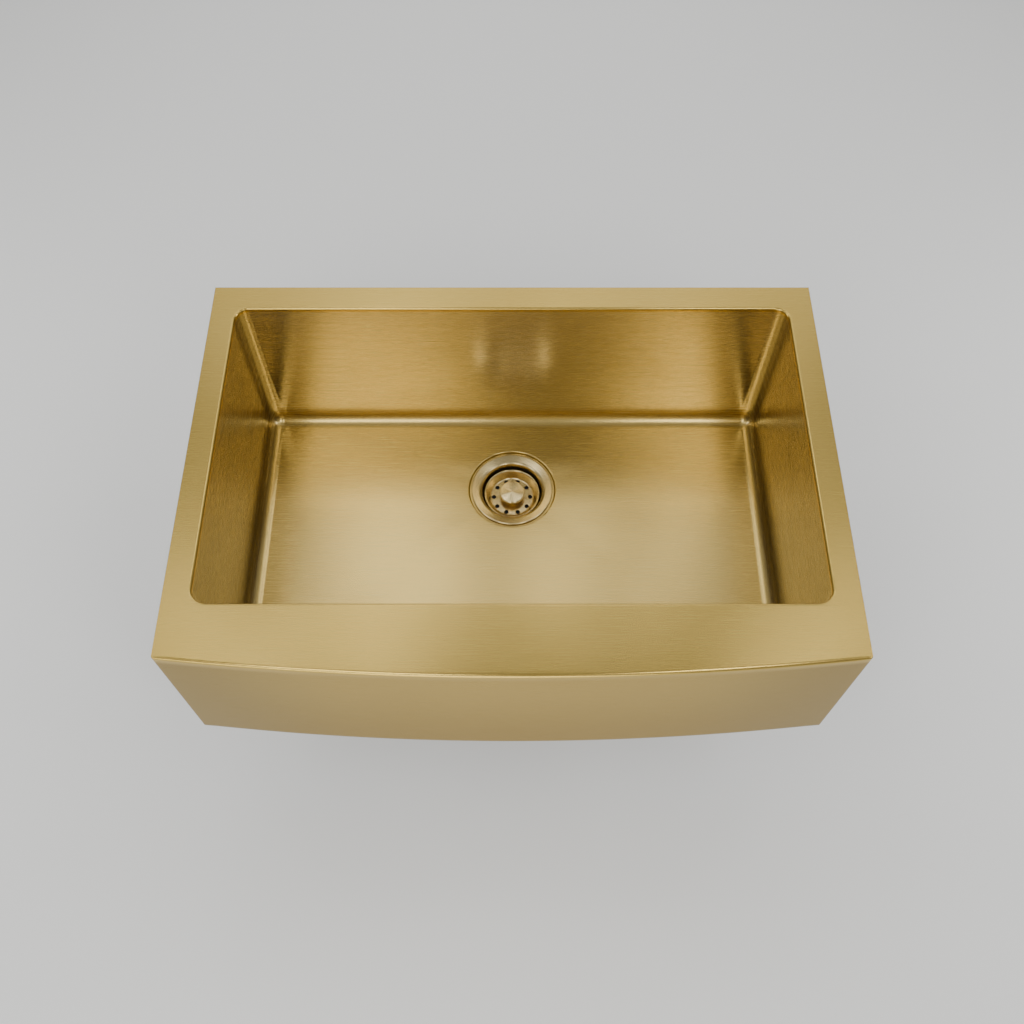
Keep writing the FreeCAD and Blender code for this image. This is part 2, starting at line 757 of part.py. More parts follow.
def make_coupling_nut():
    """Nut that holds the tailpiece to the outlet, with a lip below the tailpiece's flange."""
    body = strainer_body("coupling_nut_piece")
    bore = D["outlet_radius"] + THREAD_SLACK
    top = -D["outlet_end"] + COUPLING_GRIP
    washer_under = -D["outlet_end"] - D["washer_gauge"]
    lip = washer_under - D["tail_wall"]
    foot = lip - COUPLING_LIP
    chamfer = foot + COUPLING_CHAMFER
    neck = D["tail_radius"] + LIP_SLACK
    turned(
        body,
        [
            (bore, top),
            (COUPLING_BODY, top),
            (COUPLING_BODY, chamfer),
            (COUPLING_FOOT, foot),
            (neck, foot),
            (neck, lip),
            (bore, lip),
        ],
    )
    rib = rectangle(body, COUPLING_FOOT, COUPLING_RIB, -RIB_HALF_WIDTH, RIB_HALF_WIDTH, chamfer)
    rib_pad = pad(body, rib, top - lip)
    around(body, rib_pad, COUPLING_RIBS)
    return keep(body, "coupling_nut")


def make_tailpiece():
    """Flanged tube, 1.5 inch outside, that the drain pipe goes over, and the washer above it."""
    washer_top = -D["outlet_end"]
    top = washer_top - D["washer_gauge"]
    ring("tailpiece_washer", D["outlet_bore"], D["outlet_radius"] - 0.3, top, washer_top)
    body = strainer_body("tailpiece_piece")
    wall = D["tail_wall"]
    bore = D["tail_radius"] - wall
    foot = top - D["tail_length"]
    flange = D["outlet_radius"] - 0.3
    turned(
        body,
        [
            (bore, top),
            (flange, top),
            (flange, top - wall),
            (D["tail_radius"], top - wall),
            (D["tail_radius"], foot),
            (bore, foot),
        ],
    )
    return keep(body, "tailpiece")


# ---------------------------------------------------------------- basket and its moving pieces

BASKET_FLOOR = -19.4  # inside floor of the basket, about the recess floor
BASKET_HOLES = 10
BASKET_HOLE = 3.2
BASKET_RING = 26.0  # radius on which the basket's holes lie
STOPPER_TOP = -25.0
STOPPER_BOTTOM = -29.5
STOPPER_WASHER = 12.0
NUT_TOP = STOPPER_BOTTOM - 1.3
NUT_BOTTOM = NUT_TOP - 3.2
NUT_CORNER = 5.9  # hexagon nut, middle to corner
POST_TOP = -8.2
POST_HEAD = -48.0
POST_RIVET = (0.7, 1.0, 1.8)  # riveted head: how much wider than the rod, its rim and its height
POST_BORE = D["post_radius"] + PIN_SLACK
SLEEVE_RADIUS = 3.8
SLEEVE_COLLAR = 0.8
SNAP_BEAD = 0.3
SLIT_HALF_WIDTH = 0.5
SLITS = 2
CLIP_GAP = 0.3


def make_basket():
    body = strainer_body("basket_piece")
    wall = D["basket_wall"]
    lip = D["basket_radius"]
    turned(
        body,
        [
            (POST_BORE, BASKET_FLOOR),
            (29.6, BASKET_FLOOR),
            (31.0, BASKET_FLOOR + 0.9),
            (lip - 2.6, -9.6),
            (lip - 1.4, -8.4),
            (lip - 0.4, -8.2),
            (lip, -8.8),
            (lip - 0.9, -9.3),
            (lip - 1.7, -10.0),
            (32.0, wall * -0.4 + BASKET_FLOOR + 0.9),
            (30.2, -wall + BASKET_FLOOR),
            (POST_BORE, -wall + BASKET_FLOOR),
        ],
    )
    doc.recompute()
    outline = circle(body, BASKET_RING, BASKET_HOLE, BASKET_FLOOR + wall)
    hole = pocket(body, outline, wall * 4)
    around(body, hole, BASKET_HOLES)
    return keep(body, "basket")


def make_knob():
    """Wide mushroom knob with a slightly coned top and a stem down to the basket floor."""
    body = strainer_body("knob_piece")
    radius = D["knob_radius"]
    turned(
        body,
        [
            (0, -3.6),
            (radius - 1.2, -4.6),
            (radius, -5.6),
            (radius - 0.6, -9.4),
            (radius - 1.8, -10.0),
            (7.5, -9.2),
            (5.6, -11.2),
            (5.6, -17.0),
            (8.0, BASKET_FLOOR),
            (POST_BORE, BASKET_FLOOR),
            (POST_BORE, POST_TOP + PIN_SLACK * 2),
            (0, POST_TOP + PIN_SLACK * 2),
        ],
    )
    return keep(body, "basket_knob")


def make_post():
    """Rod from the knob down through basket and stopper, with a riveted head under the clip."""
    body = strainer_body("post_piece")
    rod = D["post_radius"]
    wider, rim, height = POST_RIVET
    turned(
        body,
        [
            (0, POST_TOP),
            (rod, POST_TOP),
            (rod, POST_HEAD),
            (rod + wider, POST_HEAD),
            (rod + wider, POST_HEAD - rim),
            (rod - rim, POST_HEAD - height),
            (0, POST_HEAD - height),
        ],
    )
    return keep(body, "basket_post")


def make_stopper():
    """Rubber disc that closes on the strainer's cone, with a hub up to the basket."""
    body = strainer_body("stopper_piece")
    under_basket = -D["basket_wall"] + BASKET_FLOOR
    turned(
        body,
        [
            (POST_BORE, under_basket),
            (8.5, under_basket),
            (10.5, STOPPER_TOP),
            (31.6, STOPPER_TOP),
            (32.4, STOPPER_TOP - 1.0),
            (28.7, STOPPER_BOTTOM),
            (POST_BORE, STOPPER_BOTTOM),
        ],
    )
    return keep(body, "stopper_seal")


def make_stopper_nut():
    """Hexagon nut that holds the stopper on the post."""
    body = strainer_body("stopper_nut_piece")
    turns = [i * math.pi / 3 for i in range(6)]
    points = [(NUT_CORNER * math.cos(turn), NUT_CORNER * math.sin(turn)) for turn in turns]
    pad(body, polygon(body, "XY_Plane", points, NUT_BOTTOM), NUT_TOP - NUT_BOTTOM)
    doc.recompute()
    outline = circle(body, 0, POST_BORE, NUT_TOP + BREAKTHROUGH)
    pocket(body, outline, NUT_TOP - NUT_BOTTOM + BREAKTHROUGH * 2)
    return keep(body, "stopper_nut")


def make_clip():
    """Split spring sleeve on the post's end that snaps into the spider's middle hole."""
    body = strainer_body("clip_piece")
    sleeve = SLEEVE_RADIUS
    collar = SLEEVE_RADIUS + SLEEVE_COLLAR
    upper, lower = NUT_BOTTOM - CLIP_GAP, POST_HEAD + CLIP_GAP
    snap = -SPIDER_LEDGE + SPIDER_GAUGE + 1.8
    turned(
        body,
        [
            (POST_BORE, upper),
            (collar, upper),
            (collar, upper - 1.0),
            (sleeve, upper - 1.4),
            (sleeve, snap + 1.4),
            (sleeve + SNAP_BEAD, snap),
            (sleeve, snap - 1.0),
            (sleeve, lower),
            (POST_BORE, lower),
        ],
    )
    doc.recompute()
    slit_top = snap + 4.0
    slit = rectangle(
        body, POST_BORE - 1.0, sleeve + 1.0, -SLIT_HALF_WIDTH, SLIT_HALF_WIDTH, slit_top
    )
    cut = pocket(body, slit, slit_top - lower + 1.0)
    around(body, cut, SLITS)
    return keep(body, "post_clip")


# ---------------------------------------------------------------- the whole sink


def check(obj):
    """Stops the build if a finished sub-part failed, is empty or isn't made of closed solids."""
    shape = obj.Shape
    bad_state = {"Invalid", "Error"} & set(obj.State)
    if bad_state or shape.isNull() or not shape.isValid() or not shape.Solids:
        raise RuntimeError(f"{obj.Label} did not build: {obj.State}")


make_bowl()
make_rim()
make_apron()
make_tie("apron_tie_left", -D["tie_spread"])
make_tie("apron_tie_right", D["tie_spread"])
make_wall_pads()
make_floor_pads()
make_strainer_cup()
make_flange_seal()
make_spider()
make_clamp_rings()
make_locknut()
make_coupling_nut()
make_tailpiece()
make_basket()
make_knob()
make_post()
make_stopper()
ring("stopper_washer", POST_BORE, STOPPER_WASHER, NUT_TOP, STOPPER_BOTTOM)
make_stopper_nut()
make_clip()

doc.recompute()
for item in doc.Objects:
    if {"Invalid", "Error"} & set(item.State):
        raise RuntimeError(f"{item.Name} ({item.Label}) failed: {item.State}")
os.makedirs(OUT_FOLDER, exist_ok=True)
for piece in pieces:
    check(piece)
    piece.Shape.exportStep(os.path.join(OUT_FOLDER, piece.Label + ".step"))
    size = piece.Shape.BoundBox
    print(
        f"{piece.Label:24s} {len(piece.Shape.Solids)} solid(s) {piece.Shape.Volume:12.1f} mm3  "
        f"z {size.ZMin:8.2f} to {size.ZMax:8.2f}"
    )
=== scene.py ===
import json
import math

import bmesh
import bpy
from mathutils import Matrix, Vector
from mathutils.geometry import tessellate_polygon


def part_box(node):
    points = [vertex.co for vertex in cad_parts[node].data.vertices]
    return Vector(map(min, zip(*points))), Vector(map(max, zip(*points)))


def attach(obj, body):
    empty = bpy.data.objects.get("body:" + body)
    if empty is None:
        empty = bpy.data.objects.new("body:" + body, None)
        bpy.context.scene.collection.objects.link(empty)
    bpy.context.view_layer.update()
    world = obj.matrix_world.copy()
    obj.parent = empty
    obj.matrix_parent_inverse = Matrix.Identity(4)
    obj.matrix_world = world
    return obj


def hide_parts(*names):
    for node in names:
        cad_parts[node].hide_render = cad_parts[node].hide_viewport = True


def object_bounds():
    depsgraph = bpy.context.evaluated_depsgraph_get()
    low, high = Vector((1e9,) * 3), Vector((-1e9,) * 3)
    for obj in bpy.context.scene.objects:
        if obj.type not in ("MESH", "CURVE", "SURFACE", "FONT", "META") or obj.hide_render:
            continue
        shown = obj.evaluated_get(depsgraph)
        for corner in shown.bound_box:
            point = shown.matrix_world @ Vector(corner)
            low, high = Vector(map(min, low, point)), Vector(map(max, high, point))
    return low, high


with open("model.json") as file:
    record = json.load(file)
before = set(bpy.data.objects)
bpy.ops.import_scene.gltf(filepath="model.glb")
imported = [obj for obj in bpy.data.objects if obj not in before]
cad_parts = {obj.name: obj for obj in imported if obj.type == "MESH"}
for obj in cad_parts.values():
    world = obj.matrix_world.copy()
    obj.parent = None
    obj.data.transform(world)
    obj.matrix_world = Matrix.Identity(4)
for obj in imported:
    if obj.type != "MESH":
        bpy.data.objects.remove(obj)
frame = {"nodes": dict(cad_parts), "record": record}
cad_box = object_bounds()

MM = 0.001
NODES = frame["nodes"]

# Sizes of the sink in metres, as in its CAD
SHEET = 1.5 * MM
CORNER_RADIUS = 18 * MM
LIP_RADIUS = 3 * MM
COLLAR_DROP = 5 * MM
FLOOR_FALL = 5 * MM
RECESS_DROP = 2.5 * MM
RECESS_RADIUS = 60.5 * MM
RECESS_ROUND = 2.2 * MM
DRAIN_HOLE = 46.3 * MM
APRON_BOW = 21 * MM
APRON_BEND = 4 * MM
APRON_CORNER = 3 * MM
HEM_DEPTH = 23 * MM
SIDE_HEM = 14 * MM
QUARTERS = {(1, 1): 0, (-1, 1): 90, (-1, -1): 180, (1, -1): 270}  # side of X and Y: where its arc starts

# Places read from the frame
DECK_LOW, DECK_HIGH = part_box("rim_deck")
BOWL_LOW, BOWL_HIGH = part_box("bowl")
APRON_LOW, APRON_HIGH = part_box("apron_front")
CUP_LOW, CUP_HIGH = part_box("strainer_cup")
HALF_X = BOWL_HIGH.x - SHEET
HALF_Y = BOWL_HIGH.y - SHEET
DECK_TOP = DECK_HIGH.z
REAR_EDGE = DECK_HIGH.y
HALF_WIDTH = APRON_HIGH.x
RETURN_END = APRON_HIGH.y
APRON_FOOT = APRON_LOW.z
FRONT_CORNER = APRON_LOW.y + APRON_BOW
DRAIN = Vector((0.0, (CUP_LOW.y + CUP_HIGH.y) / 2, BOWL_LOW.z + SHEET))
RECESS_FLOOR = DRAIN.z
FLOOR_EDGE = RECESS_FLOOR + RECESS_DROP + FLOOR_FALL
ARC_RADIUS = (HALF_WIDTH**2 + APRON_BOW**2) / (2 * APRON_BOW)
ARC_CENTRE_Y = FRONT_CORNER - APRON_BOW + ARC_RADIUS


# ------------------------------------------------------------------ mesh helpers

SHARP_FROM = math.radians(35)  # a larger angle between two faces stays a sharp edge
GRAIN_UV = "brushing"


def make_object(name, mesh):
    obj = bpy.data.objects.new(name, mesh)
    bpy.context.scene.collection.objects.link(obj)
    return obj


def finish_mesh(name, verts, faces, uv, merge=1e-7, slots=None):
    """A closed smooth-shaded mesh: doubles merged, normals outwards, sharp edges kept.

    uv maps a face's middle, its normal and a point to two texture numbers in metres. slots gives
    each face's material slot before the doubles are merged.
    """
    mesh = bpy.data.meshes.new(name)
    bm = bmesh.new()
    made = [bm.verts.new(v) for v in verts]
    for number, face in enumerate(faces):
        corners = [made[i] for i in face]
        if len(set(corners)) < 3:
            continue
        new = bm.faces.new(corners)
        if slots:
            new.material_index = slots[number]
    bmesh.ops.remove_doubles(bm, verts=bm.verts, dist=merge)
    bmesh.ops.dissolve_degenerate(bm, edges=bm.edges, dist=merge)
    bmesh.ops.recalc_face_normals(bm, faces=bm.faces)
    layer = bm.loops.layers.uv.new(GRAIN_UV)
    for face in bm.faces:
        middle, normal = face.calc_center_median(), face.normal
        for loop in face.loops:
            loop[layer].uv = uv(middle, normal, loop.vert.co)
        face.smooth = True
    bm.to_mesh(mesh)
    bm.free()
    mesh.set_sharp_from_angle(angle=SHARP_FROM)
    return make_object(name, mesh)


def weigh_normals(obj):
    """Large flat faces keep their own normal, so that only the bends shade round."""
    weighted = obj.modifiers.new("flat faces first", "WEIGHTED_NORMAL")
    weighted.keep_sharp = True
    weighted.weight = 100  # the largest face at a corner counts most


def bridge(faces, first, second, closed=True):
    """Quads between two rows of vertex numbers of equal length."""
    count = len(first)
    for i in range(count if closed else count - 1):
        j = (i + 1) % count
        faces.append((first[i], first[j], second[j], second[i]))


def add_row(verts, points):
    """Adds points to verts and returns their numbers."""
    start = len(verts)
    verts.extend(points)
    return list(range(start, start + len(points)))


def bend(start, end, steps):
    """Angles from start to end, given in degrees and both included, as radians."""
    return [math.radians(start + (end - start) * i / steps) for i in range(steps + 1)]


CORNER_SHARE = 0.49  # most of a run that one rounded corner may use


def rounded(points, steps=5):
    """A closed (r, z) profile whose third number, if given, rounds that corner."""
    out = []
    count = len(points)
    for i, point in enumerate(points):
        here = Vector(point[:2])
        radius = point[2] if len(point) > 2 else 0
        if not radius:
            out.append(here)
            continue
        before = Vector(points[i - 1][:2]) - here
        after = Vector(points[(i + 1) % count][:2]) - here
        turn = before.angle(after)
        reach = radius / math.tan(turn / 2)
        reach = min(reach, CORNER_SHARE * before.length, CORNER_SHARE * after.length)
        radius = reach * math.tan(turn / 2)
        a, b = before.normalized(), after.normalized()
        middle = here + (a + b).normalized() * radius / math.sin(turn / 2)
        from_a = here + a * reach - middle
        from_b = here + b * reach - middle
        sweep = from_a.angle_signed(from_b)
        for k in range(steps + 1):
            spin = Matrix.Rotation(-sweep * k / steps, 2)
            out.append(middle + spin @ from_a)
    return out


def lathe(name, profile, directions=128, steps=5, reshape=None, closed=True):
    """Turns an (r, z) profile in millimetres about the drain axis.

    directions is how many or which angles to place points at, steps is for the rounded corners, and
    reshape(angle, r, z) gives the radius at each point, for threads, lugs and grips. A profile that
    ends on the axis isn't closed.
    """
    angles = directions
    if isinstance(directions, int):
        angles = [2 * math.pi * i / directions for i in range(directions)]
    verts, faces, rows = [], [], []
    for r, z in rounded(profile, steps):
        row = []
        for angle in angles:
            reach = reshape(angle, r, z) if reshape else r
            spot = Vector((reach * math.cos(angle), reach * math.sin(angle), z))
            row.append(DRAIN + spot * MM)
        rows.append(add_row(verts, row))
    for a, b in zip(rows, rows[1:]):
        bridge(faces, a, b)
    if closed:
        bridge(faces, rows[-1], rows[0])
    return finish_mesh(name, verts, faces, turned_uv)


ON_WALL = 0.01  # in mm: a point this near to a cylinder's radius is on it


def screw(radius, low, high, depth, pitch):
    """A reshape that cuts a screw thread into a cylinder of that radius."""

    def reshape(angle, r, z):
        if abs(r - radius) > ON_WALL or not low <= z <= high:
            return r
        phase = (z / pitch - angle / (2 * math.pi)) % 1.0
        run_out = min(1.0, (z - low) / pitch, (high - z) / pitch)
        return r - depth * abs(2 * phase - 1) * run_out

    return reshape


def run(radius, start, end, step):
    """Points along a cylinder's wall, close enough together to hold a thread."""
    count = max(2, round(abs(end - start) / step))
    return [(radius, start + (end - start) * i / count) for i in range(count + 1)]


LUG_DRAFT = math.radians(0.4)  # how far a lug's side leans, as an angle about the axis
LUG_SLACK = 1e-6  # in radians, so that a point on a lug's edge belongs to it


def lug_angles(count, half, between):
    """Angles with a step up and down at each of count lugs, which reach half to either side."""
    out = []
    for i in range(count):
        middle = 2 * math.pi * i / count
        following = middle + 2 * math.pi / count
        foot = half + LUG_DRAFT
        out += [middle - foot, middle - half, middle, middle + half, middle + foot]
        first, last = middle + foot, following - foot
        out += [first + (last - first) * k / between for k in range(1, between)]
    return out


def lugs(count, half, radius, low, high, inside):
    """A reshape that moves what lies outside a radius, between two heights, out to the lugs' radius."""
    pitch = 2 * math.pi / count

    def reshape(angle, r, z):
        offset = (angle + pitch / 2) % pitch - pitch / 2
        on_lug = abs(offset) <= half + LUG_SLACK
        return radius if on_lug and r > inside and low <= z <= high else r

    return reshape


LEVEL = 0.7  # a face whose normal points up or down by more than this counts as level
SIDEWAYS = 0.2  # and one whose normal points sideways by more than this counts as upright
GRAIN_RADIUS = 0.03  # in metres: one radius for all angles, so that the grain closes on itself


def turned_uv(middle, normal, point):
    """U runs round the drain's axis and V along the profile, both in metres."""
    flat = (point - DRAIN).to_2d()
    angle = math.atan2(flat.y, flat.x)
    base = math.atan2(middle.y - DRAIN.y, middle.x - DRAIN.x)
    if angle - base > math.pi:
        angle -= 2 * math.pi
    if base - angle > math.pi:
        angle += 2 * math.pi
    level = abs(normal.z) > LEVEL
    return (angle * GRAIN_RADIUS, flat.length if level else point.z)


def sheet_uv(middle, normal, point):
    """U along the grain: left to right, and front to back on whatever faces sideways.

    V follows the sheet round its bends, into the bowl or down the outside of the apron.
    """
    inside = abs(middle.x) < HALF_X + LIP_RADIUS and abs(middle.y) < HALF_Y + LIP_RADIUS
    fall = point.z if inside else 2 * DECK_TOP - point.z
    if abs(normal.x) > SIDEWAYS and abs(normal.x) >= abs(normal.y):
        return point.y, abs(point.x) + fall
    if abs(normal.y) > SIDEWAYS:
        return point.x, abs(point.y) + fall
    return point.x, point.y


# ------------------------------------------------------------------ bowl

FLAT_X = HALF_X - CORNER_RADIUS
FLAT_Y = HALF_Y - CORNER_RADIUS
CREASE_WIDTH = 0.035  # how wide the floor's creases are, as a share of the way out from the drain
RAY_COUNT = 120
CORNER_STEPS = 12
SAME = 1e-9  # two angles or lengths nearer than this are the same
WALL_ROWS = 8
WALL_BAND = 4 * MM  # height of the narrow rows beside the wall's top edge and its floor fillet
FLOOR_ROWS = 14
FLOOR_START = (0.03, 0.08)  # narrow rows at the floor's edge, as shares of the way in to the recess
FLOOR_SPAN = 0.84  # share that the even rows take
FLOOR_END = (0.97, 1.0)
RECESS_LIP = 0.9  # height of the recess's round lip, as a share of its radius
RECESS_FOOT = 1.0 * MM  # fillet between the recess's wall and its floor
FOOT_BAND = 3 * MM
HOLE_BAND = 2 * MM


def smooth_max(a, b, width):
    """The larger of two numbers, with the switch between them rounded over width."""
    return 0.5 * (a + b + math.sqrt((a - b) ** 2 + width**2))


def floor_share(x, y):
    """How far out a floor point lies, from 0 at the drain's axis to 1 at the floor's edge."""
    dx, dy = x, y - DRAIN.y
    across = abs(dx) / FLAT_X
    along = dy / (FLAT_Y - DRAIN.y) if dy > 0 else -dy / (FLAT_Y + DRAIN.y)
    bigger = smooth_max(across, along, CREASE_WIDTH * max(across, along))
    return min(1.0, bigger)


def floor_height(x, y):
    return FLOOR_EDGE - FLOOR_FALL * (1 - floor_share(x, y))


def ray_angles():
    """Directions from the drain, even but for four to the floor's corners. Returns all, and those four."""
    corners = []
    for side_x, side_y in QUARTERS:
        corners.append(math.atan2(side_y * FLAT_Y - DRAIN.y, side_x * FLAT_X) % (2 * math.pi))
    step = 2 * math.pi / RAY_COUNT
    even = [i * step for i in range(RAY_COUNT)]
    near = 0.6 * step
    kept = [a for a in even if all(abs(a - c) > near for c in corners)]
    return sorted(kept + corners), corners


def edge_point(angle):
    """Where a ray from the drain meets the floor's rectangular edge."""
    dx, dy = math.cos(angle), math.sin(angle)
    reach = []
    if abs(dx) > SAME:
        reach.append(FLAT_X / abs(dx))
    if abs(dy) > SAME:
        limit = FLAT_Y - DRAIN.y if dy > 0 else FLAT_Y + DRAIN.y
        reach.append(limit / abs(dy))
    length = min(reach)
    return dx * length, DRAIN.y + dy * length


def wall_ring(height, inset, outwards):
    """A rounded rectangle at a height, as rays' edge points pushed out to the wall, with arcs.

    inset is how far the ring has curled in from the upright wall along the floor fillet.
    """
    radius = CORNER_RADIUS + outwards - inset
    angles, corners = ray_angles()
    ring = []
    for angle in angles:
        x, y = edge_point(angle)
        if any(abs(angle - c) < SAME for c in corners):
            start = QUARTERS[(math.copysign(1, x), math.copysign(1, y))]
            for turn in bend(start, start + 90, CORNER_STEPS):
                ring.append(Vector((x + radius * math.cos(turn), y + radius * math.sin(turn), height)))
        elif abs(abs(x) - FLAT_X) < SAME:
            ring.append(Vector((math.copysign(FLAT_X + radius, x), y, height)))
        else:
            ring.append(Vector((x, math.copysign(FLAT_Y + radius, y), height)))
    return ring


def bowl_wall(verts, faces, outwards, top):
    """The upright wall and its floor fillet. Returns the first and the last row."""
    radius = CORNER_RADIUS + outwards
    fillet_top = FLOOR_EDGE - outwards + radius
    start, end = top - WALL_BAND, fillet_top + WALL_BAND
    heights = [top, start]
    heights += [start + (end - start) * i / WALL_ROWS for i in range(1, WALL_ROWS + 1)]
    heights.append(fillet_top)
    rows = [add_row(verts, wall_ring(z, 0, outwards)) for z in heights]
    for turn in bend(0, 90, CORNER_STEPS)[1:]:
        ring = wall_ring(fillet_top - radius * math.sin(turn), radius * (1 - math.cos(turn)), outwards)
        rows.append(add_row(verts, ring))
    for a, b in zip(rows, rows[1:]):
        bridge(faces, a, b)
    return rows[0], rows[-1]


def bowl_skin(verts, faces, outwards, top):
    """One skin of the bowl from its top edge to the drain hole. Returns its first and last row."""
    first, foot = bowl_wall(verts, faces, outwards, top)

    # from here on one vertex per ray: the corner arcs have shrunk to points
    angles, corners = ray_angles()
    last, place = [], 0
    for angle in angles:
        last.append(foot[place])
        place += CORNER_STEPS + 1 if any(abs(angle - c) < SAME for c in corners) else 1

    lip = RECESS_RADIUS + outwards + RECESS_ROUND
    even = [FLOOR_START[-1] + FLOOR_SPAN * i / FLOOR_ROWS for i in range(1, FLOOR_ROWS + 1)]
    for share in (*FLOOR_START, *even, *FLOOR_END):
        row = []
        for angle in angles:
            out_x, out_y = edge_point(angle)
            in_x, in_y = lip * math.cos(angle), DRAIN.y + lip * math.sin(angle)
            x, y = out_x + (in_x - out_x) * share, out_y + (in_y - out_y) * share
            row.append(Vector((x, y, floor_height(x, y) - outwards)))
        row = add_row(verts, row)
        bridge(faces, last, row)
        last = row

    for reach, height, hangs in recess_profile(outwards):
        row = []
        for angle in angles:
            x, y = math.cos(angle), math.sin(angle)
            level = floor_height(lip * x, DRAIN.y + lip * y) if hangs else RECESS_FLOOR
            row.append(Vector((reach * x, DRAIN.y + reach * y, level - outwards + height)))
        row = add_row(verts, row)
        bridge(faces, last, row)
        last = row
    return first, last


def recess_profile(outwards):
    """Radius and height down into the recess, and whether the height hangs from the sloping floor.

    If it doesn't, it stands on the recess's own floor.
    """
    rim = RECESS_RADIUS + outwards
    steps = []
    for turn in bend(0, 90, 6)[1:]:
        reach = rim + RECESS_ROUND * (1 - math.sin(turn))
        steps.append((reach, -RECESS_ROUND * (1 - math.cos(turn)) * RECESS_LIP, True))
    for turn in bend(0, 90, 4):
        steps.append((rim - RECESS_FOOT * (1 - math.cos(turn)), RECESS_FOOT * (1 - math.sin(turn)), False))
    for reach in (rim - FOOT_BAND, DRAIN_HOLE + HOLE_BAND, DRAIN_HOLE):
        steps.append((reach, 0.0, False))
    return steps


def make_bowl():
    """Deep-drawn bowl: brushed gold inside, sprayed undercoat outside."""
    verts, faces = [], []
    inner_top, inner_hole = bowl_skin(verts, faces, 0.0, BOWL_HIGH.z)
    gold_faces = len(faces)
    outer_top, outer_hole = bowl_skin(verts, faces, SHEET, BOWL_HIGH.z)
    bridge(faces, inner_top, outer_top)
    bridge(faces, inner_hole, outer_hole)
    slots = [0 if i < gold_faces else 1 for i in range(len(faces))]
    obj = finish_mesh("bowl_shell", verts, faces, sheet_uv, slots=slots)
    weigh_normals(obj)
    return obj


# ------------------------------------------------------------------ rim and apron

EDGE = 0.4 * MM  # broken edge of the sheet
CORNER_BEND = 2.6 * MM  # top and bottom bend where the front meets its corner
BEND_RUN = 16 * MM  # length of front over which the bend grows to its full radius
BEND_STEPS = 6
LIP_STEPS, UNDER_STEPS = 8, 5  # steps round the bowl's lip, above and below the sheet
COLLAR_BAND = 1 * MM
RING_LONG, RING_SHORT = 24, 14  # parts of a ring's sides along X and along Y
RETURN_PARTS, TURN_PARTS, FRONT_PARTS = 9, 10, 96
BEND_FADE = 4.5 * MM  # how far down the row below a full bend lies, and less below a smaller one
FRONT_TOP, FRONT_FOOT = -8 * MM, APRON_FOOT + 9 * MM  # even rows lie between these heights
FRONT_ROWS = 9
EDGE_SIDE_PARTS, EDGE_BACK_PARTS = 16, 24
RIM_MERGE = 2e-6


def fill_flat(verts, faces, outline, holes=()):
    """Triangles over a flat outline of vertex numbers, with holes."""
    loops = [list(outline)] + [list(hole) for hole in holes]
    flat = [number for loop in loops for number in loop]
    for triangle in tessellate_polygon([[verts[n] / MM for n in loop] for loop in loops]):
        faces.append(tuple(flat[k] for k in triangle))


def rounded_ring(half_x, half_y, radius, height):
    """Rounded rectangle about the origin, with its straight sides divided."""
    ring = []
    flat_x, flat_y = half_x - radius, half_y - radius
    sides = list(QUARTERS)
    for (side_x, side_y), after in zip(sides, sides[1:] + sides[:1]):
        start = QUARTERS[(side_x, side_y)]
        for turn in bend(start, start + 90, CORNER_STEPS):
            x = side_x * flat_x + radius * math.cos(turn)
            y = side_y * flat_y + radius * math.sin(turn)
            ring.append(Vector((x, y, height)))
        turn = math.radians(start + 90)
        end_x = after[0] * flat_x + radius * math.cos(turn)
        end_y = after[1] * flat_y + radius * math.sin(turn)
        last = ring[-1]
        parts = RING_LONG if side_x * after[0] < 0 else RING_SHORT
        for i in range(1, parts):
            x = last.x + (end_x - last.x) * i / parts
            y = last.y + (end_y - last.y) * i / parts
            ring.append(Vector((x, y, height)))
    return ring


def apron_stations():
    """Round the apron from its left return to its right: place, outward direction, bend radius."""
    corner_x = HALF_WIDTH - APRON_CORNER
    corner_y = ARC_CENTRE_Y - math.sqrt((ARC_RADIUS - APRON_CORNER) ** 2 - corner_x**2)
    half_angle = math.atan2(corner_x, ARC_CENTRE_Y - corner_y)
    right = []
    for i in range(RETURN_PARTS):
        y = RETURN_END + (corner_y - RETURN_END) * i / RETURN_PARTS
        right.append((Vector((HALF_WIDTH, y)), Vector((1, 0)), EDGE))
    for i in range(TURN_PARTS + 1):
        turn = -(math.pi / 2 - half_angle) * i / TURN_PARTS
        out = Vector((math.cos(turn), math.sin(turn)))
        ease = 0.5 - 0.5 * math.cos(math.pi * i / TURN_PARTS)
        radius = EDGE + (CORNER_BEND - EDGE) * ease
        right.append((Vector((corner_x, corner_y)) + out * APRON_CORNER, out, radius))
    front = []
    for i in range(1, FRONT_PARTS):
        angle = half_angle * (1 - 2 * i / FRONT_PARTS)
        out = Vector((math.sin(angle), -math.cos(angle)))
        place = Vector((0, ARC_CENTRE_Y)) + out * ARC_RADIUS
        from_corner = (half_angle - abs(angle)) * ARC_RADIUS
        ease = min(1.0, from_corner / BEND_RUN)
        ease = ease * ease * (3 - 2 * ease)
        front.append((place, out, CORNER_BEND + (APRON_BEND - CORNER_BEND) * ease))
    left = [(Vector((-p.x, p.y)), Vector((-n.x, n.y)), b) for p, n, b in right]
    return left + front[::-1] + right[::-1]


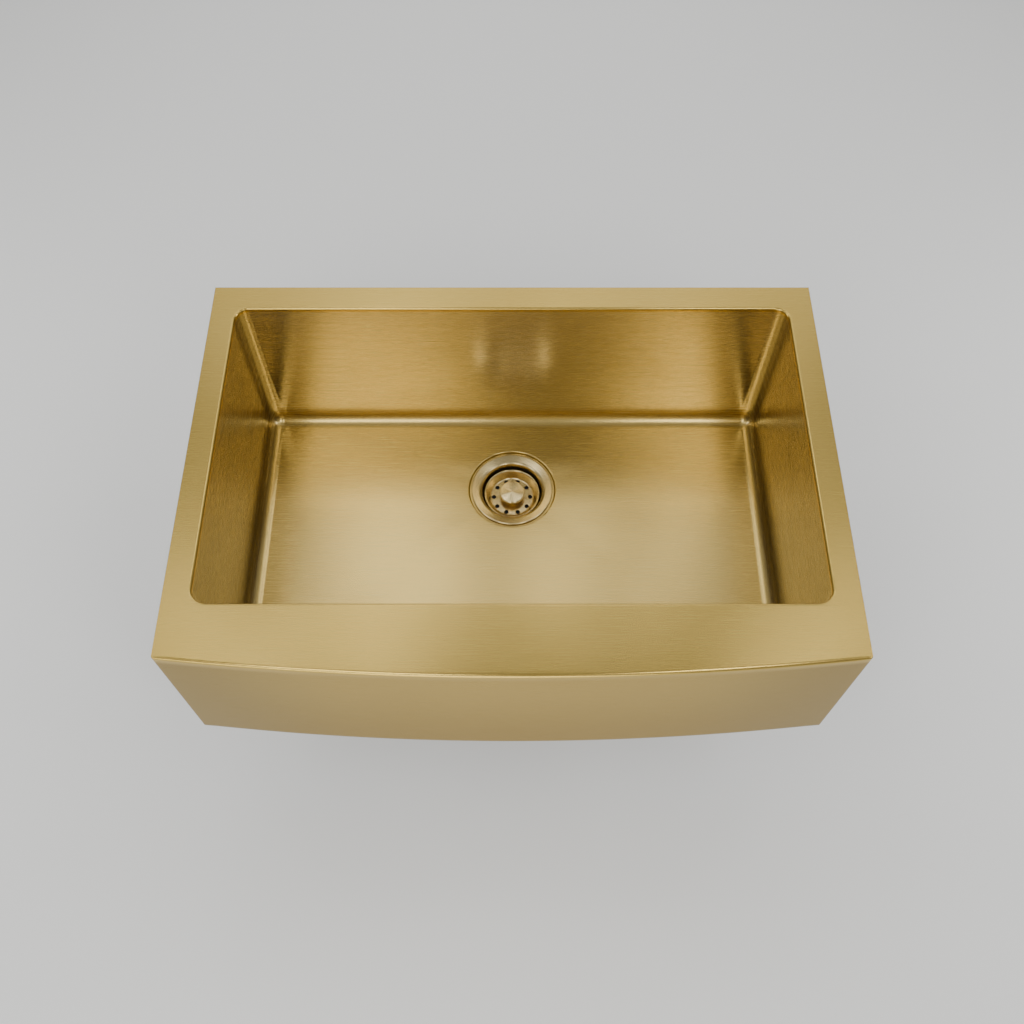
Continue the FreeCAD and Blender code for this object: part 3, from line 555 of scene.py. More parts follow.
def apron_rows(verts, stations, inset):
    """Rows down one skin of the apron, and the number of the first one below its top bend."""
    top, foot = DECK_TOP - inset, APRON_FOOT + inset
    bends = [max(0.0, b - inset) for _, _, b in stations]
    places = [p - n * inset for p, n, _ in stations]
    outs = [n for _, n, _ in stations]
    rows = []

    def row(shift, height):
        points = []
        for place, out, radius in zip(places, outs, bends):
            flat = place - out * shift(radius)
            points.append(Vector((flat.x, flat.y, height(radius))))
        rows.append(add_row(verts, points))

    for turn in bend(0, 90, BEND_STEPS):
        row(lambda r: r * (1 - math.sin(turn)), lambda r: top - r * (1 - math.cos(turn)))
    leaves = len(rows)
    fade = BEND_FADE / (APRON_BEND - EDGE)
    points = []
    for place, (_, _, radius) in zip(places, stations):
        points.append(Vector((place.x, place.y, -(radius - EDGE) * fade)))
    rows.append(add_row(verts, points))
    for i in range(FRONT_ROWS + 1):
        height = FRONT_TOP + (FRONT_FOOT - FRONT_TOP) * i / FRONT_ROWS
        row(lambda r: 0.0, lambda r: height)
    for turn in bend(0, 90, BEND_STEPS):
        row(lambda r: r * (1 - math.cos(turn)), lambda r: foot + r * (1 - math.sin(turn)))
    return rows, leaves


def deck_side(verts, inset, height):
    """The rim's cut edge: right side, back and left side, from one return's end to the other."""
    x, y = HALF_WIDTH - inset, REAR_EDGE - inset
    points = []
    for i in range(EDGE_SIDE_PARTS):
        points.append(Vector((x, RETURN_END + (y - RETURN_END) * i / EDGE_SIDE_PARTS, height)))
    for i in range(EDGE_BACK_PARTS):
        points.append(Vector((x - 2 * x * i / EDGE_BACK_PARTS, y, height)))
    for i in range(EDGE_SIDE_PARTS + 1):
        points.append(Vector((-x, y + (RETURN_END - y) * i / EDGE_SIDE_PARTS, height)))
    return add_row(verts, points)


def lip_ring(verts, out, height):
    """A ring round the bowl's opening, out from the bowl's inner wall."""
    return add_row(verts, rounded_ring(HALF_X + out, HALF_Y + out, CORNER_RADIUS + out, height))


def make_lip(verts, faces):
    """Bend from the deck down into the bowl, its collar, and the sheet's underside. Returns both ends."""
    rings = []
    for turn in bend(0, 90, LIP_STEPS):
        drop = LIP_RADIUS * (1 - math.cos(turn))
        rings.append(lip_ring(verts, LIP_RADIUS * (1 - math.sin(turn)), DECK_TOP - drop))
    for out, height in ((0.0, COLLAR_BAND - COLLAR_DROP), (0.0, -COLLAR_DROP), (SHEET, -COLLAR_DROP)):
        rings.append(lip_ring(verts, out, height))
    under = LIP_RADIUS - SHEET
    for turn in bend(90, 0, UNDER_STEPS):
        rings.append(lip_ring(verts, SHEET + under * (1 - math.sin(turn)), -under * (1 - math.cos(turn))))
    for a, b in zip(rings, rings[1:]):
        bridge(faces, a, b)
    return rings[0], rings[-1]


def make_apron_skins(verts, faces):
    """Outer and inner skin of the apron as rows, joined where the sheet's ends show."""
    stations = apron_stations()
    outer, leaves = apron_rows(verts, stations, 0.0)
    inner, _ = apron_rows(verts, stations, SHEET)
    for rows in (outer, inner):
        for a, b in zip(rows, rows[1:]):
            bridge(faces, a, b, closed=False)
    for a, b, c, d in zip(outer[leaves:], outer[leaves + 1 :], inner[leaves:], inner[leaves + 1 :]):
        faces.append((a[0], b[0], d[0], c[0]))
        faces.append((a[-1], b[-1], d[-1], c[-1]))
    return outer, inner


def make_deck_edge(verts, faces):
    """The rim's cut edge, its upper side broken. Returns its top and its bottom row."""
    rows = []
    for turn in bend(0, 90, BEND_STEPS):
        rows.append(deck_side(verts, EDGE * (1 - math.sin(turn)), DECK_TOP - EDGE * (1 - math.cos(turn))))
    rows.append(deck_side(verts, 0.0, 0.0))
    for a, b in zip(rows, rows[1:]):
        bridge(faces, a, b, closed=False)
    return rows[0], rows[-1]


def make_hem(verts, faces, outer, inner):
    """The foot of the apron, turned in along the front and both sides. Takes both skins' last rows."""
    x, y = HALF_WIDTH - SIDE_HEM, FRONT_CORNER + HEM_DEPTH
    path = [(x, RETURN_END), (x, y), (-x, y), (-x, RETURN_END)]
    hems = []
    for row, height in ((outer, APRON_FOOT), (inner, APRON_FOOT + SHEET)):
        hems.append(add_row(verts, [Vector((*place, height)) for place in path]))
        fill_flat(verts, faces, row + hems[-1])
    bridge(faces, hems[0], hems[1], closed=False)
    faces.append((outer[-1], hems[0][0], hems[1][0], inner[-1]))
    faces.append((outer[0], hems[0][-1], hems[1][-1], inner[0]))


def make_rim_and_apron():
    """Deck, rolled lip and bowed apron: one folded and welded sheet."""
    verts, faces = [], []
    lip_top, lip_under = make_lip(verts, faces)
    outer, inner = make_apron_skins(verts, faces)
    edge_top, edge_under = make_deck_edge(verts, faces)
    fill_flat(verts, faces, outer[0] + edge_top, [lip_top])
    fill_flat(verts, faces, inner[0] + edge_under, [lip_under])
    make_hem(verts, faces, outer[-1], inner[-1])
    obj = finish_mesh("rim_and_apron", verts, faces, sheet_uv, merge=RIM_MERGE)
    weigh_normals(obj)
    return obj


# ------------------------------------------------------------------ strainer
# Profiles are (radius, height above the recess floor, rounding) in millimetres, and so are the sizes here.

OUTLET_END = -82.0
BODY_WALL = (43.9, -22.5, -4.5)  # radius, lower and upper end of its thread
BODY_REACH = 30.0  # radius that only the body's wall, and not the outlet's, lies outside
OUTLET_WALL = (23.8, OUTLET_END + 0.6, -63.0)
POST_WALL = (3.0, -35.5, -29.5)
BASKET_FLOOR, BASKET_UNDER = -19.4, -20.3
BASKET_DIRECTIONS = 200
HOLE_COUNT, HOLE_CIRCLE, HOLE = 10, 26.0, 3.2
HOLE_DIRECTIONS = 40
HOLE_SOFTENED = 0.25  # width of the round edge of each hole
SOFTENED_STEP = 0.3  # where the edge's middle lies, as a share of that width
POST_HOLE = 3.1  # radius
LOCKNUT_LUGS, LOCKNUT_LUG = 6, math.asin(4 / 54)  # how many, and half of one as an angle
COUPLING_GRIPS, COUPLING_GRIP = 8, math.asin(2.5 / 28)


def make_strainer_cup():
    """Dished flange, cup with the seat for the stopper, and threaded outlet, in one piece."""
    profile = [
        (57.15, 2.1, 0.3),
        (57.15, 2.9, 0.5),
        (56.0, 3.5, 1.2),
        (46.8, 1.292, 4.0),
        (43.8, -0.21, 2.0),
        (42.5, -3.2, 4.0),
        (42.5, -24.0, 5.0),
        (27.0, -38.5, 2.5),
        (27.0, -45.5, 0.8),
        (20.3, -45.5, 1.2),
        (20.3, OUTLET_END, 0.4),
        (23.8, OUTLET_END, 0.5),
        *run(*OUTLET_WALL, 0.3),
        (23.8, -62.0, 0.6),
        (28.2, -60.0, 1.5),
        (28.2, -38.98, 1.5),
        (43.9, -24.96, 4.0),
        *run(*BODY_WALL, 0.25),
        (43.9, -4.0),
        (44.9, -1.6, 1.0),
        (46.3, 0.0, 0.4),
        (46.8, 0.092, 1.0),
        (56.0, 2.3, 0.8),
    ]
    body_thread = screw(*BODY_WALL, depth=0.55, pitch=1.8)
    outlet_thread = screw(*OUTLET_WALL, depth=0.8, pitch=2.2)

    def reshape(angle, r, z):
        return outlet_thread(angle, r, z) if r < BODY_REACH else body_thread(angle, r, z)

    return lathe("strainer_body", profile, directions=192, reshape=reshape)


def make_basket():
    """Conical crumb basket: a rolled lip, a smooth wall and a floor with a circle of round holes."""
    wall = [
        (29.3, BASKET_FLOOR),
        (29.9, BASKET_FLOOR + 0.05),
        (31.0, -18.5, 1.6),
        (36.6, -9.6, 1.8),
        (37.8, -8.4, 1.0),
        (38.8, -8.2, 0.5),
        (39.2, -8.8, 0.3),
        (38.3, -9.3, 0.3),
        (37.5, -10.0, 1.2),
        (32.0, -18.86, 1.6),
        (30.2, BASKET_UNDER + 0.05),
        (29.3, BASKET_UNDER),
    ]
    verts, faces = [], []

    def circle(middle_x, middle_y, radius, height, count, phase=0.0):
        ring = []
        for i in range(count):
            turn = 2 * math.pi * (i + phase) / count
            spot = Vector((middle_x + radius * math.cos(turn), middle_y + radius * math.sin(turn), height))
            ring.append(DRAIN + spot * MM)
        return add_row(verts, ring)

    rows = [circle(0, 0, r, z, BASKET_DIRECTIONS) for r, z in rounded(wall)]
    for a, b in zip(rows, rows[1:]):
        bridge(faces, a, b)
    openings = [(0.0, 0.0, POST_HOLE)]
    for i in range(HOLE_COUNT):
        turn = 2 * math.pi * i / HOLE_COUNT
        openings.append((HOLE_CIRCLE * math.cos(turn), HOLE_CIRCLE * math.sin(turn), HOLE))
    full, part = HOLE_SOFTENED, HOLE_SOFTENED * SOFTENED_STEP
    upper_edge = [(full, BASKET_FLOOR), (part, BASKET_FLOOR - part), (0.0, BASKET_FLOOR - full)]
    lower_edge = [(0.0, BASKET_UNDER + full), (part, BASKET_UNDER + part), (full, BASKET_UNDER)]
    upper, lower = [], []
    for x, y, radius in openings:
        rings = []
        for wider, height in upper_edge + lower_edge:
            rings.append(circle(x, y, radius + wider, height, HOLE_DIRECTIONS, phase=0.5))
        for a, b in zip(rings, rings[1:]):
            bridge(faces, a, b)
        upper.append(rings[0])
        lower.append(rings[-1])
    fill_flat(verts, faces, rows[0], upper)
    fill_flat(verts, faces, rows[-1], lower)
    obj = finish_mesh("crumb_cup", verts, faces, turned_uv)
    weigh_normals(obj)
    return obj


def make_knob():
    """Wide mushroom knob, its top coned a little and turned on a lathe."""
    profile = [
        (0.0, -3.6),
        (1.5, -3.61),
        (16.8, -4.6, 0.9),
        (18.0, -5.6, 0.7),
        (17.4, -9.4, 0.8),
        (16.2, -10.0, 0.5),
        (7.5, -9.2, 2.0),
        (5.6, -11.2, 1.5),
        (5.6, -17.0, 2.5),
        (8.0, BASKET_FLOOR, 0.2),
        (POST_HOLE, BASKET_FLOOR),
        (POST_HOLE, -8.0),
        (0.0, -8.0),
    ]
    return lathe("basket_grip", profile, directions=144, closed=False)


def make_post():
    """Rod through the basket, threaded where the nut holds the stopper, headed at its foot."""
    profile = [
        (0.0, -8.2),
        (3.0, -8.2, 0.3),
        (3.0, -29.0),
        *reversed(run(*POST_WALL, 0.12)),
        (3.0, -36.0),
        (3.0, -48.0, 0.1),
        (3.7, -48.0, 0.2),
        (3.7, -49.0, 0.4),
        (2.0, -49.8, 0.6),
        (0.0, -49.8),
    ]
    thread = screw(*POST_WALL, depth=0.35, pitch=0.9)
    return lathe("threaded_post", profile, directions=48, reshape=thread, closed=False)


def make_stopper():
    """Soft rubber disc with a sealing lip and a hub up to the basket."""
    profile = [
        (POST_HOLE, BASKET_UNDER),
        (8.5, BASKET_UNDER, 0.8),
        (10.5, -25.0, 3.0),
        (28.6, -25.0),
        (29.4, -24.9),
        (31.6, -25.0, 0.5),
        (32.4, -26.0, 0.5),
        (28.7, -29.5, 1.2),
        (24.0, -29.5),
        (23.4, -29.0, 0.4),
        (14.0, -29.0, 0.4),
        (13.4, -29.5, 0.3),
        (POST_HOLE, -29.5),
    ]
    return lathe("rubber_stopper", profile)


def make_rings():
    """The plain round pieces under the drain, with their edges softened, by node."""
    made = {}
    # node: name, inner and outer radius, lower and upper side, rounding
    plain = {
        "rubber_gasket": ("drain_gasket", 45.4, 56.0, -4.5, -1.5, 0.9),
        "friction_ring": ("fibre_washer", 44.4, 55.0, -5.5, -4.5, 0.2),
        "tailpiece_washer": ("outlet_washer", 20.3, 23.5, -84.5, OUTLET_END, 0.6),
        "stopper_washer": ("post_washer", POST_HOLE, 12.0, -30.8, -29.5, 0.4),
    }
    for node, (name, inner, outer, low, high, edge) in plain.items():
        profile = [(inner, low, edge), (outer, low, edge), (outer, high, edge), (inner, high, edge)]
        made[node] = lathe(name, profile, directions=144, steps=3)
    tail = [
        (17.85, -84.5, 0.4),
        (23.5, -84.5, 0.4),
        (23.5, -85.7, 0.4),
        (19.05, -85.7, 0.9),
        (19.05, -184.5, 0.4),
        (17.85, -184.5, 0.4),
    ]
    made["tailpiece"] = lathe("drain_tail", tail, directions=96)
    return made


def make_locknut():
    """Cast ring nut with a flange and six lugs; its bore, threaded on the real nut, is left smooth."""
    profile = [
        (44.1, -16.5, 0.5),
        (51.0, -16.5, 0.6),
        (51.0, -8.5),
        (54.5, -8.5),
        (54.5, -7.5),
        (54.5, -7.4),
        (54.5, -5.5, 0.5),
        (44.1, -5.5, 0.5),
    ]
    reshape = lugs(LOCKNUT_LUGS, LOCKNUT_LUG, radius=57.5, low=-16.6, high=-7.5, inside=50.9)
    angles = lug_angles(LOCKNUT_LUGS, LOCKNUT_LUG, between=10)
    return lathe("spanner_ring", profile, directions=angles, reshape=reshape)


def make_coupling_nut():
    """Slip nut with eight grips and a lip below the tailpiece's flange."""
    profile = [
        (24.0, -73.5, 0.3),
        (27.2, -73.5, 0.6),
        (27.2, -75.4),
        (27.2, -75.5),
        (27.2, -87.6),
        (27.2, -87.7),
        (26.0, -88.7, 0.4),
        (20.25, -88.7, 0.3),
        (20.25, -85.7, 0.2),
        (24.0, -85.7, 0.3),
    ]
    reshape = lugs(COUPLING_GRIPS, COUPLING_GRIP, radius=29.2, low=-87.6, high=-75.5, inside=27.1)
    angles = lug_angles(COUPLING_GRIPS, COUPLING_GRIP, between=8)
    return lathe("slip_nut", profile, directions=angles, reshape=reshape)


# ------------------------------------------------------------------ materials


def new_material(name, base, roughness, metallic=0.0):
    """A principled material. Returns it, its tree and its shader."""
    material = bpy.data.materials.new(name)
    material.use_nodes = True
    shader = material.node_tree.nodes["Principled BSDF"]
    shader.inputs["Base Color"].default_value = (*base, 1)
    shader.inputs["Roughness"].default_value = roughness
    shader.inputs["Metallic"].default_value = metallic
    return material, material.node_tree, shader


def noise(tree, source, stretch, detail, roughness=0.5):
    """Noise over texture coordinates that are stretched first. Returns its value socket."""
    mapping = tree.nodes.new("ShaderNodeMapping")
    mapping.inputs["Scale"].default_value = stretch
    texture = tree.nodes.new("ShaderNodeTexNoise")
    texture.inputs["Scale"].default_value = 1.0
    texture.inputs["Detail"].default_value = detail
    texture.inputs["Roughness"].default_value = roughness
    tree.links.new(source, mapping.inputs["Vector"])
    tree.links.new(mapping.outputs["Vector"], texture.inputs["Vector"])
    return texture.outputs["Fac"]


def brushing(tree):
    node = tree.nodes.new("ShaderNodeUVMap")
    node.uv_map = GRAIN_UV
    return node.outputs["UV"]


def object_space(tree):
    return tree.nodes.new("ShaderNodeTexCoord").outputs["Object"]


def spread(tree, value, low, high, to_low, to_high):
    """Maps a value between two limits, with soft ends."""
    node = tree.nodes.new("ShaderNodeMapRange")
    node.interpolation_type = "SMOOTHSTEP"
    numbers = {"From Min": low, "From Max": high, "To Min": to_low, "To Max": to_high}
    for socket, number in numbers.items():
        node.inputs[socket].default_value = number
    tree.links.new(value, node.inputs["Value"])
    return node.outputs["Result"]


COLOUR_A, COLOUR_B, COLOUR_OUT = 6, 7, 2  # a Mix node's sockets of the colour kind


def blend_colours(tree, share, first, second):
    """A colour between two others. Each may be a fixed colour or a socket."""
    node = tree.nodes.new("ShaderNodeMix")
    node.data_type = "RGBA"
    tree.links.new(share, node.inputs["Factor"])
    for number, colour in ((COLOUR_A, first), (COLOUR_B, second)):
        socket = node.inputs[number]
        if isinstance(colour, tuple):
            socket.default_value = (*colour, 1)
        else:
            tree.links.new(colour, socket)
    return node.outputs[COLOUR_OUT]


def bump(tree, shader, height, depth):
    """Gives the shader a bump, depth metres deep."""
    node = tree.nodes.new("ShaderNodeBump")
    node.inputs["Distance"].default_value = depth
    node.inputs["Strength"].default_value = 1.0
    tree.links.new(height, node.inputs["Height"])
    tree.links.new(node.outputs["Normal"], shader.inputs["Normal"])


def scaled(colour, factor):
    return tuple(min(1.0, channel * factor) for channel in colour)


def beyond(tree, letter, low, high):
    """Share that rises from 0 to 1 between two heights, or between two distances left and right."""
    split = tree.nodes.new("ShaderNodeSeparateXYZ")
    tree.links.new(object_space(tree), split.inputs["Vector"])
    if letter == "Z":
        return spread(tree, split.outputs["Z"], low, high, 0, 1)
    size = tree.nodes.new("ShaderNodeMath")
    size.operation = "ABSOLUTE"
    tree.links.new(split.outputs["X"], size.inputs[0])
    return spread(tree, size.outputs["Value"], low, high, 0, 1)


# Noise cells per metre, along the grain, across it and in depth
SCRATCH_GRAIN = (18, 5200, 1)
STREAK_GRAIN = (14, 2400, 1)
CLOUD_GRAIN = (7, 7, 7)
BROAD_GRAIN = (14, 14, 14)
TONE_CHANGE = 0.022  # how much lighter or darker than its colour a streak is
SHINE_CHANGE = 0.012  # how much rougher or smoother
WEAR = 0.1  # share of the darker tone that a cloud brings in
GRAIN_TURN = 0.25  # quarter turn: highlights spread across the grain


def brushed_metal(name, colour, roughness, anisotropy, scratch, layers=()):
    """Metal brushed along U: long fine scratches, and streaks that shine a little more or less.

    Each layer is a colour laid over those before it, an axis, and the two places along the axis
    between which it comes in. The layers paint shade and light onto parts of one coating.
    """
    material, tree, shader = new_material(name, colour, roughness, 1.0)
    shader.inputs["Anisotropic"].default_value = anisotropy
    shader.inputs["Anisotropic Rotation"].default_value = GRAIN_TURN
    tangent = tree.nodes.new("ShaderNodeTangent")
    tangent.direction_type = "UV_MAP"
    tangent.uv_map = GRAIN_UV
    tree.links.new(tangent.outputs["Tangent"], shader.inputs["Tangent"])
    along = brushing(tree)
    fine = noise(tree, along, SCRATCH_GRAIN, 3)
    streaks = noise(tree, along, STREAK_GRAIN, 3)
    clouds = noise(tree, object_space(tree), CLOUD_GRAIN, 3)
    light = spread(tree, streaks, 0.3, 0.7, 0, 1)

    def toned(shade):
        return blend_colours(tree, light, scaled(shade, 1 - TONE_CHANGE), scaled(shade, 1 + TONE_CHANGE))

    tone = toned(colour)
    # painted shade and light: each layer lays a darker or paler copy of the coating over part of the piece
    for shade, letter, low, high in layers:
        tone = blend_colours(tree, beyond(tree, letter, low, high), tone, toned(shade))
    cloudy = spread(tree, clouds, 0.35, 0.7, 0, WEAR)
    worn = blend_colours(tree, cloudy, tone, scaled(colour, 1 - TONE_CHANGE))
    tree.links.new(worn, shader.inputs["Base Color"])
    shine = spread(tree, streaks, 0.25, 0.75, roughness - SHINE_CHANGE, roughness + SHINE_CHANGE)
    tree.links.new(shine, shader.inputs["Roughness"])
    bump(tree, shader, fine, scratch)
    return material


def speckled(name, low, high, size, roughness, depth, metallic=0.0):
    """A surface with grains of two tones, size metres large, and a bump of their own depth."""
    material, tree, shader = new_material(name, low, roughness, metallic)
    place = object_space(tree)
    grain = noise(tree, place, (1 / size, 1 / size, 1 / size), 3, 0.6)
    broad = noise(tree, place, BROAD_GRAIN, 2)
    tone = blend_colours(tree, spread(tree, grain, 0.35, 0.68, 0, 1), low, high)
    shade = blend_colours(tree, spread(tree, broad, 0.35, 0.7, 0, 0.4), tone, low)
    tree.links.new(shade, shader.inputs["Base Color"])
    gloss = spread(tree, broad, 0.3, 0.7, roughness - 0.05, roughness + 0.05)
    tree.links.new(gloss, shader.inputs["Roughness"])
    bump(tree, shader, grain, depth)
    return material


# The one coating's colours, place by place. On the bowl and the sheet they are painted light and shade:
# walls paler than the floor, side walls darker, and an apron darker than the deck, darker still at its
# foot and its ends. Light that bounces between walls deepens them further
GOLD = (0.58, 0.405, 0.105)
BOWL_GOLD = (0.60, 0.435, 0.14)
# painted light and shade: the bowl's walls paler than its floor, and its side walls darker
WALL_PAINTED_PALE = (0.57, 0.475, 0.265)
SIDE_WALL_PAINTED_SHADE = (0.36, 0.30, 0.16)
STRAINER_GOLD = (0.66, 0.525, 0.26)
KNOB_GOLD = (0.76, 0.61, 0.31)
# painted shade: the apron darker than the deck, and darker still at its foot and its ends
APRON_FOOT_PAINTED_SHADE = (0.40, 0.255, 0.03)
APRON_FACE_PAINTED_SHADE = (0.51, 0.345, 0.065)
APRON_END_PAINTED_SHADE = (0.31, 0.20, 0.022)
STEEL = ((0.47, 0.47, 0.46), (0.60, 0.60, 0.59))  # darker and lighter grains
UNDERCOAT = ((0.20, 0.185, 0.165), (0.29, 0.27, 0.24))
PAD_RUBBER = ((0.02, 0.02, 0.021), (0.045, 0.045, 0.046))
SOFT_RUBBER = ((0.014, 0.014, 0.015), (0.028, 0.028, 0.029))
FOAM = ((0.68, 0.66, 0.60), (0.80, 0.78, 0.72))
FIBRE = ((0.50, 0.42, 0.28), (0.66, 0.58, 0.42))
ZINC = ((0.36, 0.36, 0.37), (0.50, 0.50, 0.51))
CHROME = (scaled((0.78, 0.79, 0.80), 0.94), (0.78, 0.79, 0.80))
NYLON = ((0.78, 0.77, 0.73), (0.85, 0.84, 0.80))

# Sheet and bowl, painted shade and light laid over the coating: colour, axis, and the two places along it,
# in metres, between which it comes in
SHEET_PAINTED_SHADING = [
    (APRON_FACE_PAINTED_SHADE, "Z", -0.21, -0.02),
    (APRON_END_PAINTED_SHADE, "X", 0.16, 0.37),
    (GOLD, "Z", -0.014, -0.003),
]
# painted light and shade on the bowl: paler walls, darker side walls
BOWL_PAINTED_SHADING = [(WALL_PAINTED_PALE, "Z", -0.236, -0.218), (SIDE_WALL_PAINTED_SHADE, "X", 0.338, 0.349)]
SHEET_FINISH = {"roughness": 0.265, "anisotropy": 0.68, "scratch": 0.8e-6}


def make_materials():
    """Every finish, by the record's material slot, and the bowl's two."""
    return {
        # the sheet's and the bowl's finishes carry painted shade and light in their layers
        "gold_sheet": brushed_metal("brushed_gold_painted_shading", APRON_FOOT_PAINTED_SHADE, layers=SHEET_PAINTED_SHADING, **SHEET_FINISH),
        "gold_bowl": brushed_metal("bowl_gold_painted_shading", BOWL_GOLD, layers=BOWL_PAINTED_SHADING, **SHEET_FINISH),
        "gold_strainer": brushed_metal("satin_gold", STRAINER_GOLD, 0.24, 0.5, 1.2e-6),
        "gold_knob": brushed_metal("turned_gold", KNOB_GOLD, 0.25, 0.86, 1.5e-6),
        # name, darker and lighter grains, their size, roughness, depth of the bump, metallic
        "plain_steel": speckled("mill_steel", *STEEL, 0.0009, 0.36, 4e-6, 1.0),
        "undercoat": speckled("sprayed_undercoat", *UNDERCOAT, 0.0011, 0.72, 9e-5),
        "pad_rubber": speckled("pad_rubber", *PAD_RUBBER, 0.0013, 0.78, 8e-5),
        "black_rubber": speckled("soft_rubber", *SOFT_RUBBER, 0.0006, 0.5, 1.2e-5),
        "seal_foam": speckled("seal_foam", *FOAM, 0.0008, 0.85, 5e-5),
        "fibre_ring": speckled("pressed_fibre", *FIBRE, 0.0005, 0.8, 2e-5),
        "zinc_nut": speckled("cast_zinc", *ZINC, 0.0007, 0.46, 2.5e-5, 1.0),
        "chrome_nut": speckled("plated_nut", *CHROME, 0.004, 0.14, 2e-6, 1.0),
        "chrome_pipe": speckled("plated_tube", *CHROME, 0.006, 0.1, 2e-6, 1.0),
        "white_washer": speckled("nylon_washer", *NYLON, 0.0012, 0.42, 8e-6),
    }


# ------------------------------------------------------------------ putting it together

# Broken edges of the pieces that keep their CAD shape
SOFTENED = {
    "apron_tie_left": 0.3 * MM,
    "apron_tie_right": 0.3 * MM,
    "outlet_spider": 0.25 * MM,
    "stopper_nut": 0.3 * MM,
    "post_clip": 0.15 * MM,
}
PAD_SOFTENED = 0.8 * MM
BROKEN_FROM = math.radians(40)  # a larger angle between two faces is an edge to break
NODE_MERGE = 0.005 * MM


def soften(obj, width):
    """Breaks the edges of a node, over its own mesh."""
    joined = obj.modifiers.new("joined faces", "WELD")
    joined.merge_threshold = NODE_MERGE
    edge = obj.modifiers.new("broken edges", "BEVEL")
    edge.width = width
    edge.segments = 2
    edge.limit_method = "ANGLE"
    edge.angle_limit = BROKEN_FROM
    edge.harden_normals = True


def dress(obj, *materials):
    """Gives a mesh its materials, in the order of the slots its faces use."""
    indices = [face.material_index for face in obj.data.polygons]
    obj.data.materials.clear()
    for material in materials:
        obj.data.materials.append(material)
    obj.data.polygons.foreach_set("material_index", [min(i, len(materials) - 1) for i in indices])


def build_sink(finish):
    """Makes every piece, gives it its finish and lets it ride on its body."""
    slot_of = {s["node"]: s["material_slot"] for s in frame["record"]["subparts"]}

    def add(obj, body, *nodes, looks=()):
        """Puts a piece in the place of nodes. Its looks are its node's own finish unless given."""
        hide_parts(*nodes)
        dress(obj, *(looks or [finish[slot_of[nodes[0]]]]))
        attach(obj, body)

    add(make_bowl(), "sink", "bowl", looks=[finish["gold_bowl"], finish["undercoat"]])
    add(make_rim_and_apron(), "sink", "rim_deck", "apron_front")
    add(make_strainer_cup(), "sink", "strainer_cup")
    add(make_locknut(), "sink", "locknut")
    add(make_coupling_nut(), "sink", "coupling_nut")
    add(make_basket(), "crumb_basket", "basket")
    add(make_knob(), "crumb_basket", "basket_knob")
    add(make_post(), "crumb_basket", "basket_post")
    add(make_stopper(), "crumb_basket", "stopper_seal")
    for node, ring in make_rings().items():
        add(ring, "crumb_basket" if node == "stopper_washer" else "sink", node)
    for node, obj in NODES.items():
        if obj.hide_render:
            continue
        if node in SOFTENED:
            soften(obj, SOFTENED[node])
        elif node.startswith("sound_pad"):
            soften(obj, PAD_SOFTENED)
        dress(obj, finish[slot_of[node]])


# ------------------------------------------------------------------ stage, light and camera

FLOOR_REACH = 6.0
FLOOR_GAP = 0.5 * MM
FLOOR_COLOUR, FLOOR_ROUGHNESS = (0.88, 0.88, 0.86), 0.85


def make_stage():
    """A plain pale floor below the tailpiece."""
    height = cad_box[0][2] - FLOOR_GAP
    corners = ((-1, -1), (1, -1), (1, 1), (-1, 1))
    verts = [Vector((x * FLOOR_REACH, y * FLOOR_REACH, height)) for x, y in corners]
    mesh = bpy.data.meshes.new("floor")
    mesh.from_pydata(verts, [], [(0, 1, 2, 3)])
    floor = make_object("floor", mesh)
    dress(floor, new_material("pale_floor", FLOOR_COLOUR, FLOOR_ROUGHNESS)[0])


def make_softbox(name, place, aim, width, length, power):
    """A rectangular area light at a place, facing another."""
    light = bpy.data.lights.new(name, "AREA")
    light.shape = "RECTANGLE"
    light.size, light.size_y = width, length
    light.energy = power
    obj = bpy.data.objects.new(name, light)
    obj.location = place
    obj.rotation_euler = (Vector(aim) - Vector(place)).to_track_quat("-Z", "Y").to_euler()
    bpy.context.scene.collection.objects.link(obj)


MIDDLE = (0.0, 0.0, -0.15)
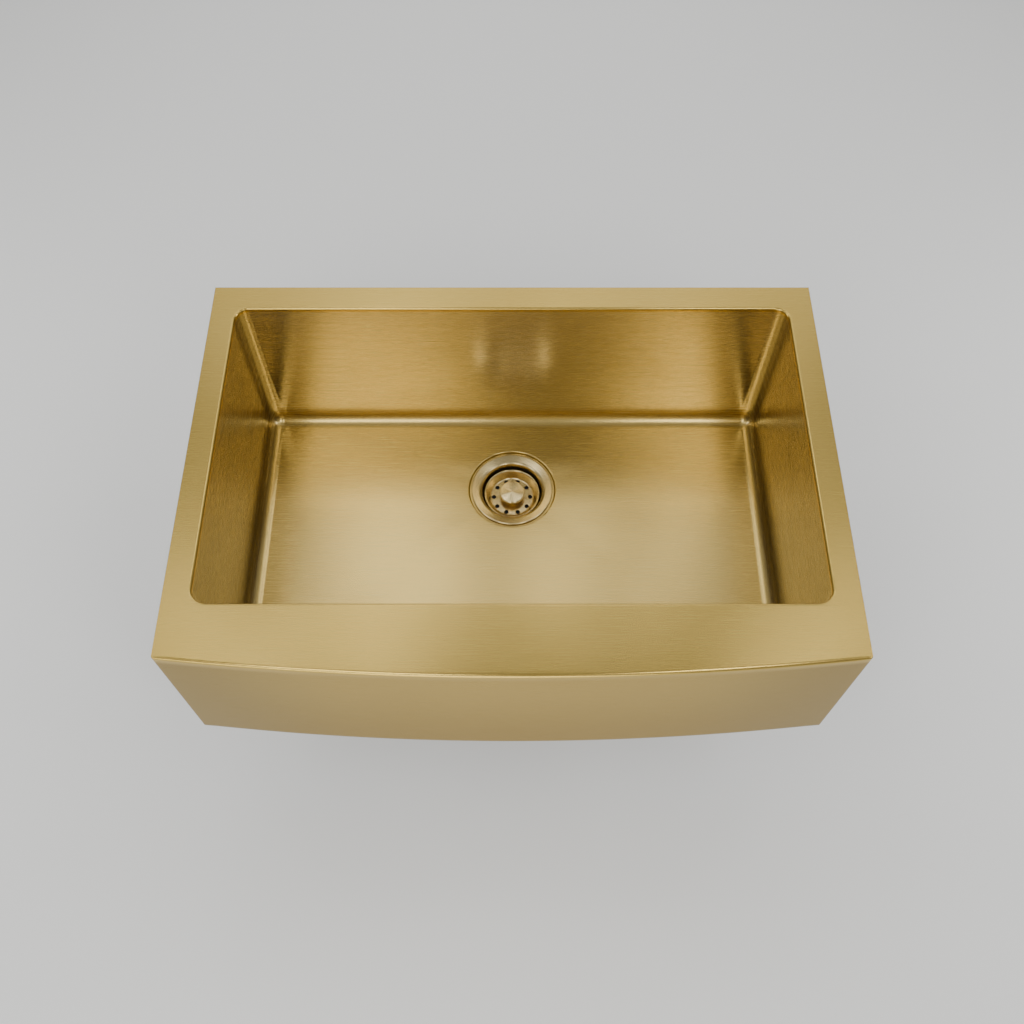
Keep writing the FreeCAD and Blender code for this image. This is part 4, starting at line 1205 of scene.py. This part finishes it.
# name, place, what it points at, width, length, power in watts
SOFTBOXES = [
    ("left_box", (-0.47, -1.15, 1.35), MIDDLE, 0.64, 0.55, 6.8),
    ("right_box", (0.60, -1.15, 1.35), MIDDLE, 0.38, 0.55, 5.3),
    ("far_left", (-0.90, 0.45, 1.90), MIDDLE, 0.28, 0.55, 1.7),
    ("far_right", (0.90, 0.45, 1.90), MIDDLE, 0.28, 0.55, 1.7),
    ("near_left", (-0.48, 0.45, 1.90), MIDDLE, 0.14, 0.55, 0.8),
    ("over_left", (-0.34, 0.95, 1.80), MIDDLE, 0.42, 0.55, 2.3),
    ("over_right", (0.14, 0.95, 1.80), MIDDLE, 0.27, 0.55, 1.3),
    ("over_edge", (0.48, 0.95, 1.80), MIDDLE, 0.14, 0.55, 0.85),
    ("rear", (0.0, 1.50, 1.40), MIDDLE, 2.0, 0.55, 4.4),
    ("rear_low", (0.0, 2.00, 0.50), MIDDLE, 2.0, 0.55, 6.8),
    ("front", (-0.5, -2.20, 0.35), MIDDLE, 1.6, 0.6, 13),
    ("front_low", (0.0, -1.50, -0.20), MIDDLE, 0.8, 0.3, 2.4),
    ("side_left", (-1.6, -0.60, 1.90), MIDDLE, 0.8, 0.8, 4),
    ("side_right", (1.6, -0.60, 1.90), MIDDLE, 0.8, 0.8, 4),
    ("low_left", (-1.9, 0.10, 0.45), (-0.75, 0.06, -0.44), 0.5, 0.9, 10),
    ("low_right", (1.9, 0.10, 0.45), (0.75, 0.06, -0.44), 0.5, 0.9, 12),
]
WORLD = 0.34  # strength of the even white light from all round

LENS, SENSOR = 37.65, 36  # in mm
CAMERA_PLACE = (0.0, -0.6837, 1.0612)
CAMERA_TILT = math.radians(29.2)  # up from looking straight down


def make_lights():
    for softbox in SOFTBOXES:
        make_softbox(*softbox)
    world = bpy.data.worlds.new("studio")
    world.use_nodes = True
    background = world.node_tree.nodes["Background"]
    background.inputs["Color"].default_value = (1, 1, 1, 1)
    background.inputs["Strength"].default_value = WORLD
    bpy.context.scene.world = world


def make_camera():
    data = bpy.data.cameras.new("camera")
    data.lens = LENS
    data.sensor_width = SENSOR
    camera = bpy.data.objects.new("camera", data)
    camera.location = CAMERA_PLACE
    camera.rotation_euler = (CAMERA_TILT, 0, 0)
    bpy.context.scene.collection.objects.link(camera)
    bpy.context.scene.camera = camera


build_sink(make_materials())
make_stage()
make_lights()
make_camera()
